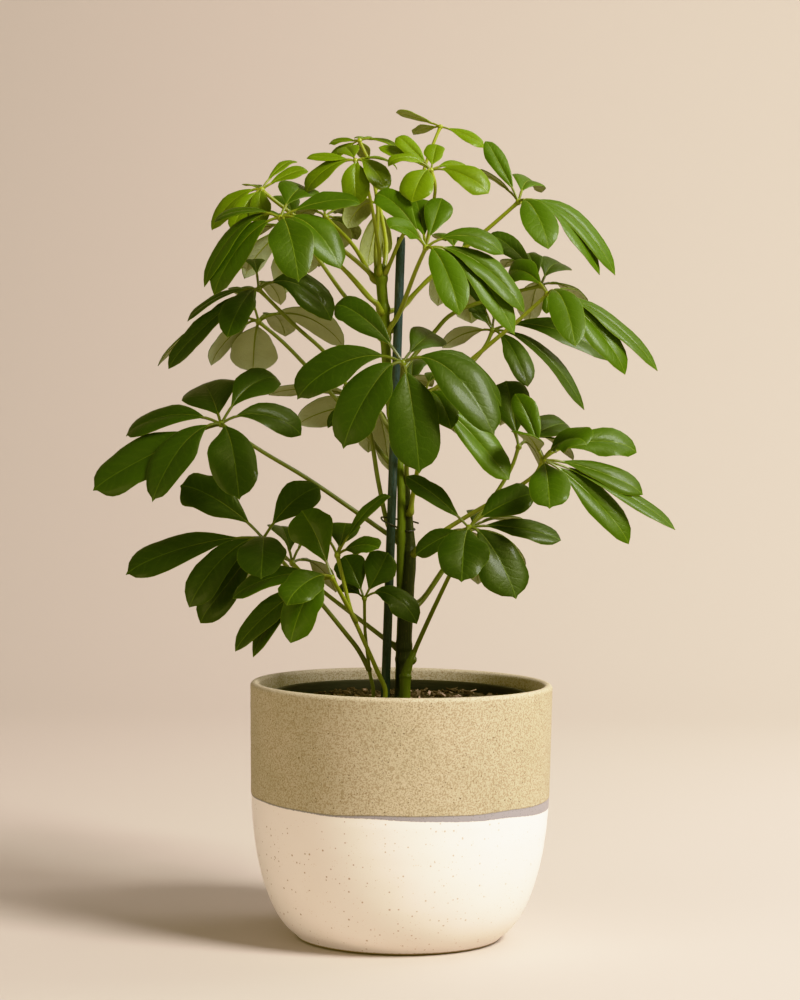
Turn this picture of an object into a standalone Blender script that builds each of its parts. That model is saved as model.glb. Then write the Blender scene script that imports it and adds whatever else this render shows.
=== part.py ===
"""Potted umbrella plant: a staked plant in its nursery pot, standing in a round stoneware planter.

Metres, +Z up. The origin is the middle of the planter's foot, on the surface it stands on.
The leaves are laid out as they are seen from the front, from a point VIEW_DISTANCE away at the
height EYE: a place is (across, up, back) in millimetres, read in the upright plane through the
planter's axis, and then pushed back along the line of sight.
"""

import itertools
import math
import random
from collections import namedtuple

import bmesh
import bpy
from mathutils import Vector
from mathutils.bvhtree import BVHTree

MM = 0.001
GAP = 0.3 * MM
UP = Vector((0, 0, 1))
TOWARDS_EYE = Vector((0, -1, 0))

# The view that the plant is laid out for
VIEW_DISTANCE = 1.6
EYE = 0.315

# Planter
PLANTER_HEIGHT = 148 * MM
PLANTER_WALL = 5.2 * MM
FOOT_RADIUS = 51.5 * MM
RIM_RADIUS = 87.5 * MM
BELLY_RADIUS = 86.6 * MM
BELLY_HEIGHT = 92 * MM
BELLY_ROUNDNESS = 2.1
FLOOR_THICKNESS = 8 * MM
PLANTER_STEPS = 32
# Shares of the height at which the planter's outer and inner profiles have a point
OUTER_RINGS = (0.62, 0.42, 0.28, 0.17, 0.08, 0.025, 0)
INNER_RINGS = (0.1, 0.19, 0.33, 0.62)

# Nursery pot and soil
POT_RIM_RADIUS = 74.5 * MM
POT_RIM_HEIGHT = 142 * MM
POT_FOOT_RADIUS = 50 * MM
POT_WALL = 1.4 * MM
POT_STEPS = 24
DRAIN_HOLES = 5
DRAIN_RADIUS = 4.5 * MM
DRAIN_CIRCLE = 33 * MM
SOIL_TOP = 136.5 * MM
SOIL_BUMP = 1.6 * MM
SOIL_RINGS = 5
# Waves of the soil's top: (radians a metre along X, along Y, phase, share of the bump)
SOIL_WAVES = ((190, 0, 1.3, 0.4), (0, 160, 1.1, 0.3), (250, 310, 0, 0.3), (420, -130, 2, 0.2))
HOLE_SIDES = 12
STEM_DEPTH = 28 * MM
STAKE_DEPTH = 95 * MM

# Stems, stake and tie
STAKE_RADIUS = 2.6 * MM
WIRE_RADIUS = 0.5 * MM
PETIOLE_RADIUS = 1.15 * MM
PETIOLE_TAPER = (1.25, 0.95)
ROOT_DROP = 4 * MM
# A route with more points than this gets no others between them
LONG_ROUTE = 4
HUB_RADIUS = 2.1 * MM
# A leaf that reaches less than this many millimetres has a thinner petiole and hub
SMALL_REACH = 40
SMALL_SHARE = 0.82

# Leaflets
BLADE_THICKNESS = 0.75 * MM
STALK_WIDTH = 2.0 * MM
STALK_SHARE = 0.17
ROWS = (0, STALK_SHARE, 0.42, 0.66, 0.88, 1)
SMALL_ROWS = (0, STALK_SHARE, 0.5, 0.82, 1)
SMALL_WIDTH = 20.2 * MM
# A folded blade is this much wider than it looks
FULLNESS = 1.12
BROADEST = 0.58
ARCH = 0.27
FOLD = 0.24
CLEARANCE = 1.25 * MM
SISTER_CLEARANCE = 1 * MM
# What is added to a leaflet's swing, and what multiplies its arch, where it would touch another
MORE_SWINGS = (0, 0.12, -0.12, 0.25, -0.25, 0.4, -0.4, 0.6, -0.6, 0.85, -0.85)
MORE_ARCHES = (1, 0.6, 1.4)
MOST_SWING = 1.1
LEAST_DEPTH = 9 * MM
BALL_SPACING = 2 * MM
SEED = 11

BLACK_PLASTIC = (0.018, 0.019, 0.017)
SOIL_BROWN = (0.045, 0.028, 0.018)
STONEWARE = (0.56, 0.47, 0.31)
BARK = (0.075, 0.085, 0.025)
STAKE_GREEN = (0.012, 0.04, 0.038)
WIRE_BLACK = (0.02, 0.02, 0.02)
LIME = (0.2, 0.34, 0.015)
FRESH = (0.09, 0.2, 0.018)
DARK = (0.035, 0.1, 0.014)

Leaf = namedtuple("Leaf", "name node grows_from route hub reach colour leaflets")

# A stem is a route of (across, up, back, radius). The first point stands in the soil.
TRUNK = ((0.4, 144, 3, 4.3), (1.2, 172, 3, 4.5), (2.2, 200, 3, 4.6), (3.2, 215, 3.4, 4.4),
         (3.5, 227, 4, 3.7), (3.2, 241, 4.2, 2.5), (2.0, 262, 3, 1.5))
BRANCH = ((0.6, 180, 2, 2.2), (-1.3, 203, 2.0, 2.3), (-1.5, 232, 2.0, 2.3), (-1.7, 262, 3, 2.3),
          (-4.2, 284, 4.4, 2.4), (-8, 305, 4.6, 2.6), (-10.6, 330, 4, 2.8), (-12.4, 358, 3, 3.0),
          (-14, 374, 2, 3.1), (-15, 387, 2, 3.1))
STAKE_FOOT = (-9.2, 144, -3)
STAKE_TOP = (-3.4, 404, -3)
TIE_HEIGHT = 241
TIE_HALF_LENGTH = 10.2
TIE_HALF_WIDTH = 4.4
TIE_POINTS = 16

# The leaves whose petioles are shoots of their own, standing in the soil
SHOOTS = ("leaf_shoot_upper", "leaf_thin_shoot")

# Each leaflet is (across, up, swing, width, face, arch). Swing is how much of the length that
# isn't seen from the front goes back, or if negative forward. Face is how far the blade turns
# its top to the front, or if negative away from it. Arch is a share of the usual one.
LEAVES = (
    Leaf("leaf_crown_top", None, "branch",
         ((-9, 391, -4), (-5, 401, -9), (0, 411, -12), (5, 426, -12), (10, 446, -10), (15, 460, -8)),
         (18.5, 468.5, -6), 34, LIME,
         ((-7, 477, 0.3, 8, -0.4, 0.2), (3, 465, 0.5, 7, -0.6, 0.2), (44, 458, -0.2, 9, 1, 0.3))),
    Leaf("leaf_crown_front", None, "branch",
         ((-7, 356, 2.4), (-2, 367, 2.2), (5, 385, -3), (11, 400, -12), (14, 418, -30), (16, 434, -41)),
         (13.5, 443.5, -43), 40, LIME,
         ((-7, 463, 0.2, 10, 0.6, 0.6), (16.5, 459, 0.5, 10, 2, 0.2), (37, 444, 0.4, 10, 0.7, 0.9),
          (47, 431, -0.2, 15, 1.6, 1), (2.5, 426, -0.7, 17, 1.5, 0.9), (-17, 457, 0.4, 9, 0.5, 0.2),
          (-12, 447, -0.3, 8, 0.8, 1))),
    Leaf("leaf_upper_front", None, "branch",
         ((-10, 351, -6), (-5, 359, -11), (-1.5, 367, -20), (5, 385, -48)),
         (11, 399, -70), 66, FRESH,
         ((-10, 411, -0.35, 14, 1.4, 0.9), (-19, 430, 0.25, 14, 1.2, 0.9), (4, 428, 0.55, 15, 1.4, 0.4),
          (20, 428, 0.5, 14, 1.5, 0.5), (56, 396, 0.1, 15, 1, 1.1), (69, 363, -0.1, 15, 1.3, 1.5),
          (63, 350, -0.35, 15, 1.6, 1.1), (31, 361, -0.6, 17, 1.5, 1.3))),
    Leaf("leaf_crown_right", None, "branch",
         ((-5, 358, 8), (-1, 366, 7), (8, 376, 5), (16, 384, 4), (45, 409, 0)),
         (64, 426, -2), 56, FRESH,
         ((44.5, 461, 0.3, 10, 0.2, 0.4), (37, 443, 0.5, 8, -0.6, 0.6), (75, 434, 0.8, 18, 1.8, 1),
          (82, 400, -0.7, 18, 1.1, 1.4), (121, 385, 0.2, 14, 1.1, 1), (112, 385, -0.25, 13, 0.8, 1.2))),
    Leaf("leaf_right_back", None, "branch",
         ((-2, 328, 12), (5, 337, 19), (16, 350, 22), (28, 362, 23), (55, 372, 22)),
         (77.5, 378, 19), 54, DARK,
         ((46, 407, 0.3, 12, 0.9, 0.7), (69, 397, 0.6, 12, 0.9, 1), (91, 390, 0.7, 17, 1.2, 0.6),
          (56, 390, 0.9, 12, -0.5, 1), (104, 368, 0.6, 14, 0.2, 1), (71, 357, 0.9, 15, 0.5, 1))),
    Leaf("leaf_right_upper", None, "branch",
         ((-1, 307, 6), (9, 313, 1), (20, 320, -6), (41, 337.5, -13), (52, 347, -16), (65, 358, -20)),
         (81.5, 373, -24), 68, FRESH,
         ((57, 385, 0.35, 17, 1.6, 1.3), (101, 369, 0.8, 10, -0.2, 0.4), (146, 330, 0.1, 13, 0.9, 1),
          (128, 328, -0.4, 18, 1.2, 1.2), (98, 343.5, -0.7, 17, 1.1, 1.2), (81, 362, -0.1, 5, 0.3, 1))),
    Leaf("leaf_right_inner", None, "branch",
         ((2, 298, 8), (18, 315, 14), (38, 333, 23), (46, 343, 27)),
         (50, 352, 29), 60, DARK,
         ((31, 391, 0.4, 13, 1, 1), (36, 366, -0.2, 9, 0.5, 1), (21, 342, 0.2, 11, -1.2, 0.7),
          (53, 364, 0.8, 10, -0.4, 1), (117, 336, 0.2, 15, 1.3, 0.7), (104, 307, 0, 12, 0.7, 1.1),
          (71, 320, -0.45, 14, 0.9, 1.3))),
    Leaf("leaf_front", None, None,
         ((2, 262.5, 3), (1.5, 269, 1), (1.2, 278, -7), (-1, 292, -33), (-2.5, 310, -65)),
         (-1.5, 332.5, -87), 68, DARK,
         ((-42, 366, 0.35, 17, 1.2, 0.7), (-63, 311.5, -0.2, 21, 1.6, 1.3), (-36, 283, -0.4, 24, 1.8, 1.8),
          (9, 269, -0.35, 26, 2.2, 1.4), (52, 291, -0.55, 24, 1.7, 1.7), (57, 309, 0.35, 18, 1.1, 1.4),
          (18, 350, 0.8, 18, 1.7, 0.5))),
    Leaf("leaf_front_lower", None, "trunk",
         ((4.6, 251, -1), (5.4, 257, -4), (6.8, 265, -11), (8.5, 278, -27), (10.5, 298, -42)),
         (12, 316, -51), 60, FRESH,
         ((61, 266, -0.15, 19, 1.5, 0.2), (27, 295, -0.3, 15, 1.1, 1.1), (20, 323, 0.6, 12, -0.5, 1),
          (-6, 292, -0.1, 14, 0.6, 1))),
    Leaf("leaf_middle_back", None, "branch",
         ((-10, 296, 14), (-13, 301, 36)),
         (-16, 308, 64), 62, DARK,
         ((-79, 314, 0.2, 12, -0.7, 0.4), (-62, 297, 0.3, 20, -1.2, 0.5), (-21, 281, 0.5, 17, -1.1, 1),
          (-8.5, 270.5, 0.4, 13, -0.6, 1.1), (-45, 295, -0.2, 12, 0.4, 1), (16, 320, 0.6, 14, -0.4, 1))),
    Leaf("leaf_crown_left", None, "branch",
         ((-17, 367, -4), (-22, 370.5, -7), (-37, 387, -18), (-56, 402, -33)),
         (-73, 415, -46), 56, FRESH,
         ((-112, 413, 0, 12, 0.3, 1), (-112, 371, -0.3, 18, 1.1, 1.3), (-118, 375.5, 0.35, 12, 0.7, 1.3),
          (-62, 379, -0.7, 22, 1.8, 1.3), (-38, 386.5, -0.3, 19, 1.3, 1.5), (-26.5, 425, 0.1, 14, 0.9, 0.7),
          (-57, 432, 0.6, 22, 0.7, 1))),
    Leaf("leaf_crown_left_back", None, "branch",
         ((-17, 352, 8), (-34, 369, 14), (-51, 392, 22)),
         (-64, 408, 27), 48, FRESH,
         ((-94.5, 380.5, 0.1, 15, -0.8, 1.2), (-96, 412, 0.6, 14, 0.1, 1), (-56, 384, 0.4, 16, -0.4, 1),
          (-44, 404, 0.8, 14, -0.3, 1), (-72, 428, 0.7, 14, 0.2, 1))),
    Leaf("leaf_crown_inner", None, "branch",
         ((-16, 397, -4), (-20, 420, -12), (-24, 436, -19)),
         (-30, 448.5, -27), 34, LIME,
         ((-58.5, 450.5, 0.1, 8, 0.8, 0.2), (-59, 431, -0.2, 12, 0.9, 0.9),
          (-30, 422.5, -0.6, 14, 1.4, 1.4), (-12, 431, -0.4, 13, 1.1, 1.2), (-5, 445, 0.2, 8, 0.4, 0.9),
          (-37, 457, 0.7, 11, 1, 0.2))),
    Leaf("leaf_crown_upper", None, "branch",
         ((-18, 396, 8), (-17, 420, 9), (-21, 444, 9)),
         (-28, 460, 8), 31, LIME,
         ((-46, 459, 0.3, 8, 0.4, 0.2), (-47, 447, 0.2, 10, 0.8, 0.6), (-25, 450, 0.6, 8, 0.4, 0.5),
          (0, 452, 0, 9, 0.2, 0.9), (-24, 462, 0.9, 9, 0.1, 0.2))),
    Leaf("leaf_crown_outer", None, "branch",
         ((-22, 385, 2), (-36, 396.5, 3), (-56, 410, 2), (-75, 424, 0)),
         (-84, 431, -3), 42, LIME,
         ((-57, 443.5, 0.3, 10, 0.5, 0.4), (-64, 448, 0.6, 7, 0.2, 0.7), (-113, 408, -0.1, 13, 0.8, 1),
          (-101, 408, -0.5, 11, 0.9, 1), (-85, 411, -0.6, 11, 1.2, 0.9), (-93, 434, 0.8, 9, -0.2, 0.2))),
    Leaf("leaf_crown_behind", None, "branch",
         ((-21, 384, 13), (-31, 400, 32)),
         (-47, 416, 50), 42, FRESH,
         ((-66, 414, 0.3, 12, -0.6, 1), (-32, 419, 0.3, 11, -0.6, 1), (-38, 397, 0.2, 17, -1, 1),
          (-28, 404, 0.4, 12, -0.8, 1), (-50, 428, 0.6, 11, -0.4, 0.2))),
    Leaf("leaf_crown_centre", None, "branch",
         ((-12, 395, 11), (-12.5, 405, 22)),
         (-16, 423, 43), 42, LIME,
         ((-35, 410, 0.3, 15, -1.2, 1.4), (-23, 388, 0.1, 13, -0.9, 1), (-13, 393, 0.4, 11, -0.9, 1),
          (2, 429, 0.5, 13, -0.4, 1), (-24, 444, 0.6, 13, -0.3, 1))),
    Leaf("leaf_left_upper", None, "branch",
         ((-9, 239, 9), (-15, 265, 11), (-21, 296, 11), (-33, 318, 6), (-46, 337.5, 0), (-64, 353.5, -9)),
         (-85, 374, -22), 56, DARK,
         ((-42, 357, 0.1, 20, 1.4, 1.4), (-127, 356, 0.1, 11, 0.5, 0.6), (-137.5, 328, -0.1, 14, 1, 1),
          (-130, 335, -0.4, 13, 1.3, 0.7), (-103, 346.5, -0.7, 16, 1.4, 1.1), (-72, 366, 0.9, 12, 0.2, 1),
          (-92, 386, 0.8, 13, 0.2, 1))),
    Leaf("leaf_left_back", None, "branch",
         ((-10, 276.5, 13), (-24, 294, 19), (-44, 316, 27), (-57, 330, 31), (-71, 344, 33)),
         (-85, 355.5, 33), 60, DARK,
         ((-144, 330, 0.2, 13, -0.3, 1), (-113, 330.5, 0.3, 14, -0.4, 1.2), (-88, 326, 0.4, 25, -1.1, 1),
          (-69, 348, 0.8, 17, 0, 0.8), (-35, 342, 0.3, 18, -0.9, 0.9), (-98, 372, 0.8, 14, 0.2, 1))),
    Leaf("leaf_left_low", None, "branch",
         ((-11, 235, 9), (-30, 248, 7), (-57, 266, -1), (-82, 280.5, -9)),
         (-106, 296, -16), 72, DARK,
         ((-117, 320, 0.75, 28, 2.2, 0.3), (-72, 323, 0.5, 20, 0.8, 0.8), (-59, 290.5, 0.3, 18, 1.4, 0.9),
          (-162, 289.5, 0.25, 21, 0.8, 0.8), (-180, 257, -0.2, 27, 1.6, 0.6),
          (-146, 251, -0.4, 22, 1.1, 1.4), (-95, 252.5, -0.6, 24, 1.8, 1.2))),
    Leaf("leaf_shoot_upper", "shoot_left", None,
         ((-9.5, 144, -12), (-14, 154, -13), (-18.5, 164, -14), (-25, 178, -16), (-30, 190, -19)),
         (-38, 221, -22), 46, FRESH,
         ((-8, 257, 0, 9, 0.2, 1), (-14, 225.5, -0.4, 14, 0.9, 0.6), (-33, 241, 0.7, 16, 0.5, 0.4),
          (-60, 236, 0.7, 17, 0.4, 0.9))),
    Leaf("leaf_shoot_lower", "shoot_left", None,
         ((-27, 183, -18), (-33, 194, -24)),
         (-41, 208, -41), 60, FRESH,
         ((-99, 196, -0.1, 17, 0.7, 0.6), (-67, 193, -0.7, 19, 1.5, 0.9), (-97.5, 165, -0.3, 15, 1.3, 0.9),
          (-65, 170, -0.5, 20, 1.2, 1.7), (-87, 161.5, 0.3, 15, 0.9, 1.2), (-59, 247, 0.25, 22, 1.6, 0.5))),
    Leaf("leaf_thin_shoot", "shoot_thin", None,
         ((-16.4, 144, -6), (-18.4, 153, -6), (-19.6, 162, -7), (-21.5, 178, -10)),
         (-22, 196, -16), 34, DARK,
         ((-34, 221, 0.4, 17, 1, 0.3), (-8.5, 223, 0.4, 17, 0.9, 0.3), (-37, 204, 0.5, 9, 1, 0.3),
          (9, 182, -0.5, 16, 1.3, 1.5))),
    Leaf("leaf_left_base", "shoot_thin", None,
         ((-18.8, 155, -6), (-25, 166, -6), (-32, 175, -7), (-50, 196.5, -11), (-66, 213, -15)),
         (-81, 230, -20), 66, DARK,
         ((-129.5, 260.5, 0.35, 24, 1.2, 0.6), (-161, 209, -0.1, 21, 1.3, 0.6),
          (-124, 190, -0.4, 19, 1.5, 1), (-118, 181, 0.1, 20, 1.6, 0.3), (-82, 207, -0.6, 24, 1.5, 1),
          (-48.5, 260.5, 0.35, 20, 0.7, 0.7))),
    Leaf("leaf_base_back", None, "trunk",
         ((-10, 173, 9), (-20, 180.5, 15), (-46, 200, 34)),
         (-64, 216, 50), 58, DARK,
         ((-72, 238, 0.5, 17, -0.4, 1), (-48, 236, 0.5, 17, -0.4, 1), (-92, 202, 0.5, 19, 0.2, 1),
          (-62, 182, 0.6, 19, 0.3, 1), (-38, 200, 0.7, 17, 0.2, 1), (-104, 224, 0.5, 18, 0.3, 1))),
    Leaf("leaf_right_low", None, "trunk",
         ((10, 227, -3), (28, 239, -8), (45, 249.5, -14), (60, 258, -22), (75, 268.5, -31)),
         (80, 277.5, -37), 66, FRESH,
         ((63.5, 316, 0.2, 12, 1, 0.4), (67, 294, -0.5, 15, 0.4, 0.4), (105, 288.5, -0.5, 20, 1.2, 0.8),
          (135, 283, 0.35, 17, 1.3, 0.8), (139, 259, 0.1, 14, 1.3, 0.4), (158, 239, -0.1, 11, 0.8, 0.6),
          (131.5, 230, -0.3, 16, 1.6, 0.5), (84.5, 250.5, -0.6, 21, 1.5, 0.6))),
    Leaf("leaf_right_base", None, "trunk",
         ((7, 165, 1), (16, 186, -7), (26.5, 209, -22), (33, 223, -34)),
         (38, 238, -46), 66, DARK,
         ((1, 267.5, 0.3, 11, 0.8, 0.2), (7, 222, 0.1, 14, 1.4, 0.2), (34, 206.5, -0.5, 25, 1.7, 1.4),
          (66, 197, -0.3, 25, 1.5, 1.3), (91.5, 231.5, 0.1, 14, 1.3, 0.4), (76, 258, 0.3, 19, 1.1, 0.5))),
    Leaf("leaf_right_hidden", None, "trunk",
         ((12, 196, 8), (22, 211, 13), (40, 240, 22), (53, 257.5, 29), (62, 273, 32)),
         (66, 285, 33), 60, DARK,
         ((58, 324, 0.45, 21, 1.2, 0.3), (55, 299, 0.8, 10, -0.4, 1), (95, 299, 0.5, 20, 0.9, 0.6),
          (84, 262, 0.7, 15, 0.7, 1.4), (98, 278, 0.6, 15, 0.2, 1))),
    Leaf("leaf_rear_upper", None, "branch",
         ((-1, 365.5, 20), (8, 376, 45)),
         (28, 394, 73), 60, FRESH,
         ((52, 398, 0.5, 18, 0, 1), (58, 374, 0.5, 18, 0, 1), (38, 356, 0.6, 20, -0.3, 1),
          (18, 366, 0.6, 17, -0.2, 1), (22, 404, 0.6, 17, 0, 1))),
    Leaf("leaf_rear_left", None, "branch",
         ((-19, 368, 19), (-37, 387, 47)),
         (-62, 404, 78), 58, FRESH,
         ((-96, 400, 0.5, 17, 0, 1), (-104, 378, 0.4, 17, 0, 1), (-70, 372, 0.7, 19, -0.2, 1),
          (-50, 388, 0.7, 16, 0, 1), (-72, 414, 0.6, 16, 0, 1))),
    Leaf("leaf_rear_middle", None, "branch",
         ((-2, 284, 22), (-1, 296, 54)),
         (4, 312, 89), 62, DARK,
         ((-36, 316, 0.4, 19, 0, 1), (-32, 296, 0.5, 19, 0, 1), (6, 284, 0.6, 21, 0, 1),
          (34, 290, 0.5, 20, 0, 1), (44, 310, 0.4, 19, 0, 1), (6, 334, 0.7, 18, 0, 1))),
    Leaf("leaf_rear_low", None, "trunk",
         ((12, 197, 20), (22, 212, 46)),
         (38, 236, 82), 62, DARK,
         ((74, 234, 0.5, 19, 0, 1), (70, 214, 0.5, 20, 0, 1), (44, 206, 0.6, 20, 0, 1),
          (26, 222, 0.6, 17, 0, 1), (48, 246, 0.6, 17, 0, 1))),
)


def place(across, up, back):
    """The point in space that is seen at (across, up) when it lies back behind the plane."""
    grown = 1 + back * MM / VIEW_DISTANCE
    return Vector((across * MM * grown, back * MM, EYE + (up * MM - EYE) * grown))


def material(name, colour, roughness, metallic=0.0):
    made = bpy.data.materials.new(name)
    made.use_nodes = True
    shader = made.node_tree.nodes["Principled BSDF"]
    shader.inputs["Base Color"].default_value = (*colour, 1)
    shader.inputs["Roughness"].default_value = roughness
    shader.inputs["Metallic"].default_value = metallic
    made.diffuse_color = (*colour, 1)
    return made


def new_object(name, data, collection):
    made = bpy.data.objects.new(name, data)
    collection.objects.link(made)
    return made


def finish(made, colour, roughness, metallic=0.0):
    """Give a piece its material and smooth shading."""
    made.data.materials.clear()
    made.data.materials.append(material(made.name, colour, roughness, metallic))
    made.data.shade_smooth()
    made.data.set_sharp_from_angle(angle=math.radians(38))


def mesh_of(made):
    """A new mesh of the object as its modifiers leave it."""
    bpy.context.view_layer.update()
    graph = bpy.context.evaluated_depsgraph_get()
    return bpy.data.meshes.new_from_object(made.evaluated_get(graph))


def weld(mesh):
    bm = bmesh.new()
    bm.from_mesh(mesh)
    bmesh.ops.remove_doubles(bm, verts=bm.verts, dist=0.01 * MM)
    bm.to_mesh(mesh)
    bm.free()


def turned(name, profile, steps, collection):
    """A solid turned about Z from (radius, height) points that run down its outer side."""
    mesh = bpy.data.meshes.new(name)
    bm = bmesh.new()
    verts = [bm.verts.new((radius, 0, height)) for radius, height in profile]
    for first, second in zip(verts, verts[1:]):
        bm.edges.new((first, second))
    bm.to_mesh(mesh)
    bm.free()
    made = new_object(name, mesh, collection)
    screw = made.modifiers.new("turn", "SCREW")
    screw.steps = screw.render_steps = steps
    screw.use_merge_vertices = True
    screw.merge_threshold = 0.05 * MM
    made.data = mesh_of(made)
    made.modifiers.clear()
    return made


def smooth_route(points, per_span):
    """Points of a Catmull-Rom curve through the given ones, each a Vector of any length."""
    ends = [2 * points[0] - points[1]] + list(points) + [2 * points[-1] - points[-2]]
    route = []
    for a, b, c, d in zip(ends, ends[1:], ends[2:], ends[3:]):
        for step in range(per_span):
            t = step / per_span
            route.append(0.5 * (2 * b + (c - a) * t + (2 * a - 5 * b + 4 * c - d) * t * t
                                + (3 * b - a - 3 * c + d) * t ** 3))
    return route + [points[-1].copy()]


def tube(name, route, collection, sides_level=1, closed=False):
    """A closed tube along points of (x, y, z, radius), as a mesh object."""
    curve = bpy.data.curves.new(name, "CURVE")
    curve.dimensions = "3D"
    curve.bevel_depth = 1
    curve.bevel_resolution = sides_level
    curve.use_fill_caps = not closed
    spline = curve.splines.new("POLY")
    spline.points.add(len(route) - 1)
    spline.use_cyclic_u = closed
    for point, (x, y, z, radius) in zip(spline.points, route):
        point.co = (x, y, z, 1)
        point.radius = radius
    guide = new_object(name + "_guide", curve, collection)
    mesh = mesh_of(guide)
    bpy.data.objects.remove(guide)
    weld(mesh)
    return new_object(name, mesh, collection)


def boolean(base, operation, collection, solver="EXACT"):
    """Join or cut a mesh with every object of a collection, and remove those objects."""
    change = base.modifiers.new(operation.lower(), "BOOLEAN")
    change.operation = operation
    change.solver = solver
    change.operand_type = "COLLECTION"
    change.collection = collection
    mesh = mesh_of(base)
    base.modifiers.clear()
    base.data = mesh
    for made in list(collection.objects):
        bpy.data.objects.remove(made)


def planter_radius(height):
    """Outer radius of the planter: a rounded foot, then a side that leans out a little."""
    if height >= BELLY_HEIGHT:
        return BELLY_RADIUS + (RIM_RADIUS - BELLY_RADIUS) * (height - BELLY_HEIGHT) / (
            PLANTER_HEIGHT - BELLY_HEIGHT)
    fall = 1 - height / BELLY_HEIGHT
    return FOOT_RADIUS + (BELLY_RADIUS - FOOT_RADIUS) * (1 - fall ** BELLY_ROUNDNESS) ** (
        1 / BELLY_ROUNDNESS)


def planter_profile():
    """From the lip down the outside, across the foot, then up the inside to the lip."""
    lip = PLANTER_WALL / 2
    points = [(RIM_RADIUS - lip * (1 - math.sin(a)), PLANTER_HEIGHT - lip * (1 - math.cos(a)))
              for a in (0, math.pi / 4, math.pi / 2)]
    points += [(planter_radius(share * PLANTER_HEIGHT), share * PLANTER_HEIGHT) for share in OUTER_RINGS]
    points += [(0, 0), (0, FLOOR_THICKNESS)]
    points += [(planter_radius(0.03 * PLANTER_HEIGHT) - 1.6 * PLANTER_WALL, FLOOR_THICKNESS)]
    points += [(planter_radius(share * PLANTER_HEIGHT) - PLANTER_WALL, share * PLANTER_HEIGHT)
               for share in INNER_RINGS]
    points += [(RIM_RADIUS - lip * (1 + math.sin(a)), PLANTER_HEIGHT - lip * (1 - math.cos(a)))
               for a in (math.pi / 2, math.pi / 4)]
    return points + points[:1]


def pot_radius(height):
    """Outer radius of the nursery pot's leaning side."""
    share = (height - FLOOR_THICKNESS) / (POT_RIM_HEIGHT - FLOOR_THICKNESS)
    return POT_FOOT_RADIUS + (POT_RIM_RADIUS - 2 * MM - POT_FOOT_RADIUS) * share


def pot_profile():
    foot = FLOOR_THICKNESS + GAP
    floor = foot + 1.6 * POT_WALL
    band = POT_RIM_HEIGHT - 9 * MM
    return [(POT_RIM_RADIUS, POT_RIM_HEIGHT), (POT_RIM_RADIUS, band), (pot_radius(band), band - 0.4 * MM),
            (POT_FOOT_RADIUS + 1 * MM, foot + 5 * MM), (POT_FOOT_RADIUS - 2 * MM, foot),
            (0, foot), (0, floor), (POT_FOOT_RADIUS - POT_WALL - 1.5 * MM, floor),
            (POT_FOOT_RADIUS - POT_WALL + 1.2 * MM, floor + 5 * MM),
            (pot_radius(band) - POT_WALL, band), (POT_RIM_RADIUS - 2 * POT_WALL, band + 1 * MM),
            (POT_RIM_RADIUS - 2 * POT_WALL, POT_RIM_HEIGHT), (POT_RIM_RADIUS, POT_RIM_HEIGHT)]


def make_planter(collection):
    planter = turned("planter", planter_profile(), PLANTER_STEPS, collection)
    finish(planter, STONEWARE, 0.62)


def make_nursery_pot(collection, cutters):
    pot = turned("nursery_pot", pot_profile(), POT_STEPS, collection)
    for hole in range(DRAIN_HOLES):
        angle = 2 * math.pi * hole / DRAIN_HOLES
        bpy.ops.mesh.primitive_cylinder_add(
            vertices=8, radius=DRAIN_RADIUS, depth=12 * MM,
            location=(DRAIN_CIRCLE * math.cos(angle), DRAIN_CIRCLE * math.sin(angle), FLOOR_THICKNESS))
        cutter = bpy.context.object
        bpy.context.collection.objects.unlink(cutter)
        cutters.objects.link(cutter)
    boolean(pot, "DIFFERENCE", cutters)
    finish(pot, BLACK_PLASTIC, 0.45)


def soil_height(x, y):
    """The soil's uneven top."""
    return SOIL_TOP + SOIL_BUMP * sum(share * math.sin(along_x * x + along_y * y + phase)
                                      for along_x, along_y, phase, share in SOIL_WAVES)


def make_soil(collection, cutters, holes):
    """Soil that fills the nursery pot, with a plain hole for each stem and for the stake."""
    foot = FLOOR_THICKNESS + GAP + 1.6 * POT_WALL + GAP
    top_radius = pot_radius(SOIL_TOP) - POT_WALL - 2 * GAP
    profile = [(0, SOIL_TOP)]
    profile += [(top_radius * ring / SOIL_RINGS, SOIL_TOP) for ring in range(1, SOIL_RINGS + 1)]
    profile += [(POT_FOOT_RADIUS - POT_WALL + 0.6 * MM, foot + 6 * MM),
                (POT_FOOT_RADIUS - POT_WALL - 3 * MM, foot), (0, foot)]
    soil = turned("soil", profile, POT_STEPS, collection)
    for vert in soil.data.vertices:
        if vert.co.z > SOIL_TOP - 1 * MM:
            vert.co.z = soil_height(vert.co.x, vert.co.y)
    for start, end, radius in holes:
        axis = end - start
        bpy.ops.mesh.primitive_cylinder_add(vertices=HOLE_SIDES, radius=radius, depth=axis.length,
                                            location=(start + end) / 2,
                                            rotation=axis.to_track_quat("Z", "Y").to_euler())
        cutter = bpy.context.object
        bpy.context.collection.objects.unlink(cutter)
        cutters.objects.link(cutter)
    boolean(soil, "DIFFERENCE", cutters)
    finish(soil, SOIL_BROWN, 0.95)


def with_foot(route):
    """The route with a straight foot before it, down into the soil."""
    x, y, _, radius = route[0]
    return [Vector((x, y, SOIL_TOP - STEM_DEPTH, radius)), Vector((x, y, SOIL_TOP, radius))] + route


def stem_route(stem, in_soil=False):
    """The stem's (x, y, z, radius) points, with a straight foot in the soil where it has one."""
    route = [Vector((*place(*point[:3]), point[3] * MM)) for point in stem]
    return with_foot(route) if in_soil else route


def hole_for(route):
    """The hole in the soil for a stem with an upright foot."""
    x, y, z, radius = route[0]
    return (Vector((x, y, z - GAP)), Vector((x, y, SOIL_TOP + 10 * MM)), radius + 1.4 * GAP)


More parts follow.
